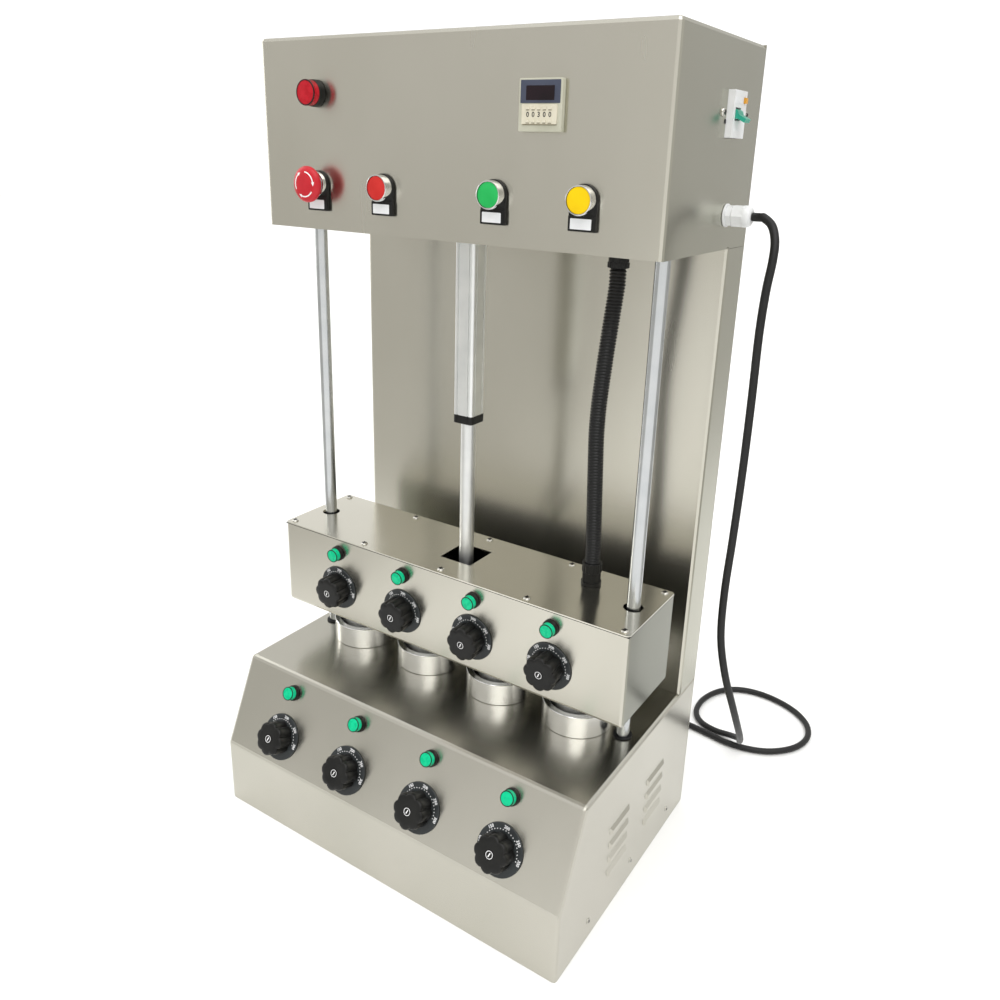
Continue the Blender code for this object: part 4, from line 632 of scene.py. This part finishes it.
def add_moulds():
    """Turned moulds with a contact line round the collar, and the plungers on their plate."""
    top = 230
    mouth = 36.48
    profile = [(0, 110.8), (10.2, 110.8), (11.2, 111.6), (17.7, 130), (mouth, top - 0.8),
               (mouth + 0.8, top), (44, top), (44.5, top - 0.5), (44.5, 201.8),
               (44, 201.3), (42, 201.3), (42, 86), (41, 85), (0, 85)]
    for number, x in enumerate(row_of_four(mould_pitch), 1):
        shape = turned(profile, 96, at(x, rod_row))
        piece(f"mould_{number}", shape, "mould", "machine", f"lower_mould_{number}", smooth=25)
    plungers = [placed(rounded_block(212.4, 39.9, 257.8, 265.7, 3, 0.6, 3), at(0, rod_row))]
    profile = [(0, 261.7), (35.2, 261.7), (35.2, 257.8), (11.2, 130.2), (10.4, 127.9),
               (8.6, 126.3), (6.2, 125.8), (0, 125.8)]
    plungers += [turned(profile, 72, at(x, rod_row)) for x in row_of_four(mould_pitch)]
    piece("plungers", plungers, "plunger", "carriage", "upper_moulds", smooth=25)


def bar(radius, low, high, chamfer):
    """The outline of a round bar with chamfered ends."""
    return [(0, low), (radius - chamfer, low), (radius, low + chamfer), (radius, high - chamfer),
            (radius - chamfer, high), (0, high)]


def grooved_square(half, depth, height):
    """The section of a drawn square tube: soft corners, and two grooves along each side."""
    corner = half * 0.24
    side = [(-half * 0.62, 0), (-half * 0.59, depth), (-half * 0.52, depth), (-half * 0.49, 0),
            (half * 0.49, 0), (half * 0.52, depth), (half * 0.59, depth), (half * 0.62, 0)]
    points = []
    for quarter in range(4):
        lean = Matrix.Rotation(quarter * pi / 2, 2)
        for along, into in side:
            points.append(lean @ Vector((half - into, along)))
        for step in range(5):
            turn = step * pi / 8
            points.append(lean @ Vector([half - corner + corner * way for way in (cos(turn), sin(turn))]))
    return [(*point, height) for point in points]


def add_rods():
    """Guide rods with black rings round their feet, the push rod, and the actuator's tube and cap."""
    ring = [(8.4, 201.4), (11.4, 201.4), (11.6, 201.8), (11.4, 202.8), (10.8, 203.1), (8.6, 203.1),
            (8.4, 202.9), (8.4, 201.4)]
    feet = []
    for side, x in rod_xs.items():
        rod = turned(bar(8, 1.8, 795.8, 0.8), 48, at(x, rod_row))
        piece(f"rod_{side}", rod, "rod", "machine", f"guide_rod_{side}", smooth=35)
        feet.append(turned(ring, 48, at(x, rod_row)))
    piece("rod_feet", feet, "rubber", smooth=40)
    push_rod = turned(bar(9.25, 276.3, 600, 0.8), 56, at(0, rod_row))
    piece("push_rod", push_rod, "push_rod", "carriage", "actuator_rod", smooth=35)
    low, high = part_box("actuator_tube")
    middle = at((low[0] + high[0]) / 2, (low[1] + high[1]) / 2)
    half = (high[0] - low[0]) / 2
    tube = loft([grooved_square(half, 0.0011, height) for height in (low[2], high[2])])
    piece("actuator_profile", placed(tube, middle), "anodised", "machine", "actuator_tube")
    low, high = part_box("actuator_end_cap")
    half = (high[0] - low[0]) / 2
    chamfer = 0.0006
    levels = ((chamfer, low[2]), (0, low[2] + chamfer), (0, high[2]))
    cap = loft([grooved_square(half - inset, 0.0006, height) for inset, height in levels])
    piece("actuator_cap", placed(cap, middle), "black", "machine", "actuator_end_cap")


def knob(radius, height, lobes):
    """A grip knob: soft lobes round its skirt, a waist and a dished top."""
    count = lobes * 10
    waves = [abs(cos(tau * index / count * lobes / 2)) ** 0.75 for index in range(count)]
    low = 2.4
    top = low + height
    # Each ring's reach, height and depth of notches
    rings = (
        (radius * 0.955, low, 2.6), (radius * 0.97, low + 0.8, 2.9),
        (radius, top - 5.2, 3.3), (radius * 0.995, top - 3.6, 3.3),
        (radius * 0.975, top - 2, 3), (radius * 0.93, top - 0.9, 2.4),
        (radius * 0.86, top - 0.3, 1.4), (radius * 0.62, top - 0.2, 0),
        (5.8, top - 0.2, 0), (5.6, top - 0.6, 0), (5.1, top - 0.6, 0),
        (4.9, top - 0.1, 0), (4.4, top, 0), (1, top, 0),
    )
    return loft([around([reach - notch * (1 - wave) for wave in waves], level)
                 for reach, level, notch in rings])


def knob_mark(place, top):
    """A white ring and a pointer bar on a knob's boss."""
    face = top - 0.2
    proud = top + 0.05
    band = turned([(3.9, face), (4.5, face), (4.5, proud), (3.9, proud), (3.9, face)], 32)
    pointer = rounded_block(0.6, 2.5, face, proud, 0.2)
    return [placed(band, place), placed(pointer, place @ Matrix.Rotation(-0.35, 4, "Z"))]


def dial_marks(place, rim):
    """White dots and numbers round a dial plate, from its lower left over the top."""
    shapes = []
    level = Vector((0, 0, rim))
    dot = [(0, -0.2), (0.6, -0.2), (0.6, 0.06), (0, 0.06)]
    for step in range(26):
        turn = radians(222 - 9.2 * step)
        along = Vector((cos(turn), sin(turn), 0))
        shapes.append(turned(dot, 12, place @ at(*(along * 0.023 + level))))
        if step % 5 == 0:
            stand = place @ at(*(along * 0.0264 + level)) @ Matrix.Rotation(turn - pi / 2, 4, "Z")
            shapes.append(placed(words(str(50 + step * 10), 0.005), stand))
    return shapes


def lens_rim(outer, inner, low, high):
    """The outline of the dark rim round a lens's front."""
    return [(inner, low), (outer, low), (outer + 0.1, low + 0.2), (outer - 0.1, high - 0.2),
            (outer - 0.4, high), (inner + 0.2, high), (inner, high - 0.2), (inner, low)]


def add_dials(group, body, dials, lamps):
    """A row of four thermostat dials and signal lamps."""
    plates = []
    marks = []
    profile = [(0, -25.8), (19.6, -25.8), (20, -25.4), (20, -2.2), (19.6, -1.8), (5.2, -1.8), (5.2, 0.3),
               (29.1, 0.3), (29.6, 0.6), (29.6, 1.5), (29.1, 2.1), (28.6, 2.2), (23.6, 2.05), (23.1, 2.1),
               (6.5, 2.1), (6.5, 0.9), (0, 0.9)]
    for number, place in enumerate(dials, 1):
        plates.append(turned(profile, 80, place))
        marks += dial_marks(place, 0.00218)
        shape = placed(knob(21.7, 22.1, 8), place)
        turning = f"{group}_knob_{number}"
        piece(f"{group}_grip_{number}", shape, "black", turning, turning, smooth=50)
        piece(f"{group}_grip_mark_{number}", knob_mark(place, 24.5), "marks", turning, smooth=35)
    piece(f"{group}_dial_plates", plates, "scale", body, f"{group}_thermostats")
    piece(f"{group}_dial_marks", marks, "marks", body, smooth=35)
    ring = [(0, -18), (6, -18), (6, 0.3), (9.6, 0.3), (10, 0.7),
            (10, 3), (9.6, 3.8), (9.2, 5.4), (8.9, 5.6), (0, 5.6)]
    lens = [(0, 5.4), (8.65, 5.4), (8.65, 11.2), (8.4, 11.8), (7.2, 12), (4, 12.4), (0, 12.6)]
    rim = lens_rim(8.7, 7.6, 11.4, 12.3)
    rings, lenses, rims = ([turned(part, 56, place) for place in lamps] for part in (ring, lens, rim))
    piece(f"{group}_lamp_rings", rings, "black", body, f"{group}_lamps")
    piece(f"{group}_lenses", lenses, "green_lens", body)
    piece(f"{group}_lens_rims", rims, "green_rim", body)


def arched_plate(half, foot, hole, low, high, edge):
    """A plate with a round top, a square foot below and a hole for the button's neck."""
    def outline(inset, height):
        reach = half - inset
        arch = [(reach * cos(pi * step / 24), reach * sin(pi * step / 24)) for step in range(25)]
        return [metres(x, y, height) for x, y in arch + [(-reach, foot + inset), (reach, foot + inset)]]

    def rim(height):
        turns = [atan2(y, x) for x, y, _ in outline(0, height)]
        return [metres(hole * cos(turn), hole * sin(turn), height) for turn in turns]

    rings = [rim(low), outline(0, low), outline(0, high - edge), outline(edge, high), rim(high)]
    return loft(rings, hollow=True)


def add_buttons():
    """Button rings, label holders with bare inserts, caps, and the stop button's mushroom."""
    rings = []
    holders = []
    inserts = []
    blocks = []
    places = {name: front_place(x, head_front, button_height) for name, x in button_xs.items()}
    for name, place in places.items():
        # The ring's bore, mouth, top and end behind the panel, and the contact block's shoulder
        if name == "stop":
            bore, mouth, top, end = 8.4, 12.5, 8.7, -15.3
            shoulder = [(0, -15.8), (14, -15.8)]
        else:
            bore, mouth, top, end = 9.8, 13.1, 14, -3.4
            shoulder = [(0, -3.8), (10.5, -3.8), (14, -9)]
        ring = [(bore, end), (bore, 5.6), (mouth, 5.6), (mouth, top - 0.1), (mouth + 0.2, top), (13.7, top),
                (14.1, top - 0.2), (14.3, top - 0.7), (14.3, 2.2), (10.9, 2.2), (10.9, -8.5),
                (bore + 0.2, -8.5), (bore + 0.2, end), (bore, end)]
        rings.append(turned(ring, 64, place))
        shoulder += [(14, -31.5), (13.5, -32), (0, -32)]
        blocks.append(turned(shoulder, 40, place))
        holders.append(placed(arched_plate(15.25, -29.5, 13.8, 0.3, 3.6, 0.5), place))
        tab = rounded_block(15.25, 7.4, 3, 4.3, 1, 0.4, 3)
        holders.append(placed(tab, place @ at(0, -0.0221)))
        insert = rounded_block(11.6, 5.1, 4, 4.55, 0.6, 0.1)
        inserts.append(placed(insert, place @ at(-0.001, -0.0224)))
    piece("button_rings", rings, "chrome", "machine", *[f"{name}_button_body" for name in places])
    piece("button_holders", holders, "black")
    piece("button_blocks", blocks, "black")
    piece("button_inserts", inserts, "label")
    cap = [(0, 0.4), (9, 0.4), (9.4, 0.8), (9.4, 9.4), (12.4, 9.4), (12.7, 9.7),
           (12.7, 13), (12.4, 13.3), (11.9, 13.4), (0, 13.4)]
    for name in ("rise", "down", "start"):
        piece(f"{name}_cap", turned(cap, 64, places[name]), name, f"{name}_button", f"{name}_button_cap")
    place = places["stop"]
    pin = [(0, -10), (7.6, -10), (8, -9.6), (8, 13.6), (7.6, 14),
           (6, 14), (6, 18.3), (5.6, 18.7), (0, 18.7)]
    piece("stop_pin", turned(pin, 40, place), "zinc", "stop_plunger", "stop_plunger")
    skirt = [(0, 19), (6.3, 19), (6.3, 14.3), (9.2, 14.3), (10, 14.6),
             (18.5, 16.3), (19.6, 17), (20, 18.1), (20, 19.6), (19.6, 20.9)]
    head = turned(skirt + list(reversed(dome)), 80, place)
    piece("mushroom", head, "stop", "stop_mushroom", "stop_mushroom", smooth=40)
    arrows = [placed(turn_arrow(start, 92), place) for start in (85, 205, 325)]
    piece("mushroom_arrows", arrows, "marks", "stop_mushroom", smooth=60)


def dome_height(radius):
    """How high a print on the mushroom's top stands at a radius, just proud of it."""
    for (inner, high), (outer, low) in zip(dome, dome[1:]):
        if radius <= outer:
            return high + (low - high) * (radius - inner) / (outer - inner) + 0.04
    return dome[-1][1]


def turn_arrow(start, sweep):
    """A printed curved arrow on the mushroom, from a start angle clockwise."""
    middle = 13.6
    point = 18
    stem = sweep - point
    rows = [(stem * step / 16, (middle - 0.7, middle, middle + 0.7)) for step in range(17)]
    for step in range(5):
        spread_out = 2 * (1 - step / 4)
        rows.append((stem + point * step / 4, (middle - spread_out, middle, middle + spread_out + 0.02)))
    shape = bmesh.new()
    loops = []
    for turned_by, reaches in rows:
        turn = radians(start - turned_by)
        loops.append([shape.verts.new(metres(reach * cos(turn), reach * sin(turn), dome_height(reach)))
                      for reach in reaches])
    for before, after in zip(loops, loops[1:]):
        for index in range(2):
            shape.faces.new((before[index], before[index + 1], after[index + 1], after[index]))
    bmesh.ops.recalc_face_normals(shape, faces=shape.faces)
    for face in shape.faces:
        if face.normal.z < 0:
            face.normal_flip()
    return shape


def add_power_lamp():
    """The red lamp that shows the machine is on."""
    place = front_place(-0.174, head_front, 0.9193)
    ring = [(0, -30), (10.8, -30), (10.8, 0.3), (14.1, 0.3), (14.5, 0.7),
            (14.5, 5), (14.2, 6), (14.1, 8.8), (13.8, 9.2), (0, 9.2)]
    piece("power_lamp_ring", turned(ring, 72, place), "black", "machine", "power_lamp")
    lens = [(0, 9), (13.6, 9), (13.6, 16.8), (13.2, 17.3), (11.5, 17.4), (6, 17.7), (0, 17.8)]
    piece("power_lens", turned(lens, 72, place), "red_lens")
    piece("power_lens_rim", turned(lens_rim(13.8, 12.4, 16.4, 17.8), 72, place), "red_rim")


def add_timer():
    """The panel timer: case, slate face, dark display, thumbwheels and their buttons."""
    place = front_place(0.1245, head_front, 0.9063)
    case = [
        placed(rounded_block(24, 24, 0.3, 6.3, 1.2, 0.6, 3), place),
        placed(rounded_block(22.1, 22.1, -69.5, 0.4, 1.2, 0, 3), place),
    ]
    piece("timer_case", case, "cream", "machine", "timer")
    face = rounded_block(22.2, 10.4, 6.2, 6.6, 0.6, 0.2)
    piece("timer_face", placed(face, place @ at(0, 0.0121)), "slate")
    window = rounded_block(15.7, 6.5, 6.5, 7, 0.4, 0.2)
    piece("timer_display", placed(window, place @ at(0, 0.0109)), "window")
    panel = rounded_block(19.5, 8.9, 6.1, 8.1, 0.6, 0.4)
    wheels = [placed(panel, place @ at(0, -0.0083))]
    # Painted shadows: a dark strip under the wheel panel, and one under each button below
    painted_shadows = [placed(rounded_block(19.1, 0.4, 6.1, 6.6, 0.3), place @ at(0, -0.0176))]
    digits = []
    for index, digit in enumerate("00300"):
        x = (index - 2) * 0.0062
        for y in (-0.0029, -0.0147):
            button = rounded_block(2, 1.2, 8, 9.2, 0.4, 0.4)
            wheels.append(placed(button, place @ at(x, y)))
            # A painted shadow under the button
            shade = rounded_block(1.8, 0.4, 8, 8.3, 0.2)
            painted_shadows.append(placed(shade, place @ at(x, y - 0.0015)))
        digits.append(placed(words(digit, 0.0064), place @ at(x, -0.0087, 0.00814)))
    piece("timer_wheels", wheels, "ivory")
    piece("timer_painted_shadows", painted_shadows, "shade")
    piece("timer_digits", digits, "print_and_shade", smooth=35)


def add_breaker():
    """The bare label fields on the breaker, and a black disc on the wall in front of it that paints the
    shade of a small hole.
    """
    place = wall_place(0.0948, 0.90595)
    fields = []
    # Half sizes and corner in millimetres, and the place on the breaker in metres
    for half_x, half_y, corner, x, y in ((5.2, 3, 0.6, -0.0108, 0.013), (5.2, 3, 0.6, 0.002, 0.013),
                                         (10, 1.2, 0.4, -0.004, -0.015)):
        field = rounded_block(half_x, half_y, 6.8, 7.2, corner, 0.1)
        fields.append(placed(field, place @ at(x, y)))
    piece("breaker_windows", fields, "label")
    # Painted shade: a thin black disc stands for the dark inside of a small hole
    hole = turned([(0, 0.05), (2.4, 0.05), (2.4, 0.3), (0, 0.3)], 24, wall_place(0.0745, 0.8985))
    piece("wall_hole_painted_shade", hole, "print_and_shade")


def screw_head(radius, height):
    """A domed screw head."""
    profile = [(0, -0.4), (radius * 0.99, -0.4), (radius, 0.2)]
    steps = 6
    for step in range(steps + 1):
        lean = step / steps * pi / 2 * 0.92
        profile.append((radius * cos(lean), height * (0.18 + 0.82 * sin(lean))))
    return turned(profile + [(0, height)], 32)


def recess_shadow_cross(radius, height):
    """The dark cross of a screw's recess, as two raised black bars that paint the shade in it."""
    shapes = []
    for turn in (0, pi / 2):
        arm = rounded_block(radius * 0.62, radius * 0.19, height * 0.9, height * 1.03, radius * 0.1)
        shapes.append(placed(arm, Matrix.Rotation(turn + 0.4, 4, "Z")))
    return shapes


def add_screws(name, body, places, radius, height):
    """A set of screws on one body, and the painted shade of their cross recesses."""
    heads = []
    recess_shadows = []
    for place in places:
        heads.append(placed(screw_head(radius, height), place))
        recess_shadows += [placed(shape, place) for shape in recess_shadow_cross(radius, height)]
    piece(f"{name}_screws", heads, "screw", body, smooth=50)
    piece(f"{name}_screw_recess_shadows", recess_shadows, "print_and_shade", body)


def add_gland():
    """The white cable gland: sealing ring, chamfered hexagons, ribbed dome and soft lip."""
    place = wall_place(gland_row, gland_height)
    parts = [
        turned([(0, -12), (9.8, -12), (9.8, 0.3), (11.7, 0.3), (12, 0.6),
                (12, 2.2), (11.6, 2.6), (10, 2.6), (10, 15), (11.2, 20),
                (11.3, 22.2), (11, 24.5), (10.2, 26.6), (9, 28.1), (7.4, 28.9),
                (6.6, 29), (5, 28.8), (0, 28.6)], 64),
        prism([11.7] * 6, 2.8, 8.2, 0.5),
        prism([12.3] * 6, 9, 21.5, 0.7),
        prism([14] * 6, -6.8, -1.8, 0.4),
    ]
    piece("gland", placed(joined(parts), place), "white", "machine", "cable_gland")


def add_floor():
    """A plain pale floor, greyer beyond the picture's edges in two places that the steel mirrors."""
    material, tree, shader = new_material("studio_floor", Roughness=0.6, Specular_IOR_Level=0.2)
    place = add_node(tree, "SeparateXYZ", Vector=add_node(tree, "TexCoord").outputs["Object"])
    across = place.outputs["X"]
    back = place.outputs["Y"]
    # In front: beyond the picture's lower left edge
    slant = add_node(tree, "Math", multiply_add, i0=across, i1=0.554, i2=back)
    front = add_node(tree, "MapRange", Value=slant, From_Min=-0.74, From_Max=-0.96)
    far = add_node(tree, "Math", {"operation": "ADD"}, i0=back, i1=1.2)
    farther = add_node(tree, "Math", minimum, i0=far, i1=0)
    drifted = add_node(tree, "Math", multiply_add, i0=farther, i1=-0.3, i2=across)
    left = add_node(tree, "MapRange", Value=drifted, From_Min=-0.38, From_Max=-0.72)
    front_left = add_node(tree, "Math", multiply, i0=front, i1=left)
    # On the right: beyond the picture's right edge
    right = add_node(tree, "MapRange", Value=across, From_Min=0.64, From_Max=0.95)
    behind = add_node(tree, "MapRange", Value=back, From_Min=-0.1, From_Max=0.3)
    right_back = add_node(tree, "Math", multiply, i0=right, i1=behind)
    shade = add_node(tree, "Math", maximum, i0=front_left, i1=right_back)
    pale = add_node(tree, "Mix", rgba, i0=pattern(tree, 330), i6=linear("#F4F4F3"), i7=linear("#F8F8F7"))
    grey = add_node(tree, "Mix", rgba, i0=shade, i6=pale, i7=linear("#ACABA7"))
    feed(tree, shader, Base_Color=grey)
    mesh = bpy.data.meshes.new("floor")
    reach = 14
    mesh.from_pydata([(x * reach, y * reach, 0) for x, y in ((-1, -1), (1, -1), (1, 1), (-1, 1))], [],
                     [(0, 1, 2, 3)])
    mesh.materials.append(material)
    floor = new_object("floor", mesh)
    floor.location.z = -0.0004


def add_light(name, kind, direction, place=(0, 0, 0), **settings):
    """A light with its settings, shining from a direction."""
    data = bpy.data.lights.new(name, kind)
    for setting, value in settings.items():
        setattr(data, setting, value)
    light = new_object(name, data)
    light.matrix_world = at(*place) @ Vector(direction).to_track_quat("Z", "Y").to_matrix().to_4x4()


def add_studio():
    """A bright room: grey walls in front for the steel to show, white behind and overhead."""
    world = bpy.data.worlds.new("studio")
    bpy.context.scene.world = world
    world.use_nodes = True
    tree = world.node_tree
    tree.nodes.clear()
    place = add_node(tree, "TexCoord").outputs["Generated"]
    height = add_node(tree, "SeparateXYZ", Vector=place).outputs["Z"]
    ramp = add_node(tree, "ValToRGB", i0=add_node(tree, "MapRange", Value=height, From_Min=-1))
    stops = ramp.color_ramp.elements
    stops[0].color = linear("#DADAD8")
    stops[1].color = linear("#FFFFFF")
    for position, colour in ((0.4, "#D2D1CE"), (0.5, "#CAC9C6"), (0.6, "#CAC9C6"), (0.74, "#CCCBC8"),
                             (0.87, "#FAFAFA")):
        stops.new(position).color = linear(colour)
    # White behind the machine, as high as the picture shows
    dot_product = {"operation": "DOT_PRODUCT"}
    behind = add_node(tree, "VectorMath", dot_product, i0=place, i1=(-0.53, 0.85, 0)).outputs["Value"]
    wide = add_node(tree, "MapRange", Value=behind, From_Min=0.66, From_Max=0.84)
    high = add_node(tree, "MapRange", Value=height, From_Min=0.48, From_Max=0.26)
    back = add_node(tree, "Math", multiply, i0=wide, i1=high)
    white = add_node(tree, "Mix", rgba, i0=back, i6=ramp.outputs["Color"], i7=linear("#FAFAFA"))
    # A greyer wall past the picture's right edge, for the machine's right side
    aside = add_node(tree, "VectorMath", dot_product, i0=place, i1=(0.42, 0.905, 0)).outputs["Value"]
    wall = add_node(tree, "MapRange", Value=aside, From_Min=0.9, From_Max=0.96)
    colour = add_node(tree, "Mix", rgba, i0=wall, i6=white, i7=linear("#BDBCBA"))
    background = add_node(tree, "Background", Color=colour, Strength=1.28)
    add_node(tree, "OutputWorld", Surface=background)
    add_light("soft_sun", "SUN", (0.45, -0.62, 1.25), energy=1.3, angle=radians(50))
    add_light("strip", "AREA", (-2.4, -0.3, 0.9), (-2.4, -0.3, 1.5), shape="RECTANGLE", size=0.5,
              size_y=2, energy=14)


# The CAD nodes that stay as they are and take a material
cad_looks = {
    "casing": "head_cover column_cover",
    "base": "base_shell",
    "carriage": "carriage_box",
    "top": "carriage_lid",
    "behind": "back_panel base_floor head_floor",
    "zinc": "rod_foot_bar head_cross_bar guide_bush_left guide_bush_right rod_bracket breaker_bracket",
    "ceramic": "mould_heaters",
    "black": "actuator_drive",
    "white": "breaker_body",
    "teal": "breaker_toggle",
    "amber": "breaker_test_button",
}
for look, nodes in cad_looks.items():
    for node in nodes.split():
        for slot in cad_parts[node].material_slots:
            slot.material = looks[look]
add_camera()
add_cord()
add_conduit()
add_moulds()
add_rods()
# Shares of the way up the base's slope, and heights on the carriage's front
base_dials = [slope_place(x, 0.3237) for x in row_of_four(0.1153)]
base_lamps = [slope_place(x, 0.8096) for x in row_of_four(0.114)]
add_dials("base", "machine", base_dials, base_lamps)
carriage_dials, carriage_lamps = (
    [front_place(x, carriage_front, height) for x in row_of_four(0.109)] for height in (0.3027, 0.353))
add_dials("carriage", "carriage", carriage_dials, carriage_lamps)
add_buttons()
add_power_lamp()
add_timer()
add_breaker()
add_gland()
# The dark line under the lid, in front and at both ends: black strips that paint the shadow in the gap
# under its edge
shadow_line_low = 0.3717
shadow_line_high = 0.3724
shadow_strips = [block((-half_width + 0.0004, carriage_front - 0.0001, shadow_line_low),
               (half_width - 0.0004, -0.0525, shadow_line_high))]
for left in (half_width - 0.0015, -half_width - 0.0001):
    shadow_strips.append(block((left, carriage_front + 0.0004, shadow_line_low), (left + 0.0016, 0.0706, shadow_line_high)))
piece("lid_painted_shadow_line", shadow_strips, "hose", "carriage", smooth=35)
lid_xs = (-0.2505, -0.125, 0, 0.125, 0.2505)
lid_places = [at(x, y, carriage_top) for x in lid_xs for y in (-0.0455, 0.0625)]
add_screws("lid", "carriage", lid_places, 4.5, 2.4)
screw_rows = (-0.1035, 0.0085, 0.1205)
screw_height = 0.0245
leftwards = Matrix.Rotation(-pi / 2, 4, "Y")
side_places = [wall_place(y, screw_height) for y in screw_rows]
side_places += [at(-half_width, y, screw_height) @ leftwards for y in screw_rows]
add_screws("side", "machine", side_places, 3.6, 1.2)
add_screws("breaker", "machine", [wall_place(y, 0.9068) for y in (0.0665, 0.1315)], 4.4, 2.6)
add_floor()
add_studio()
bpy.context.scene.view_settings.view_transform = "Standard"

bpy.context.view_layer.update()
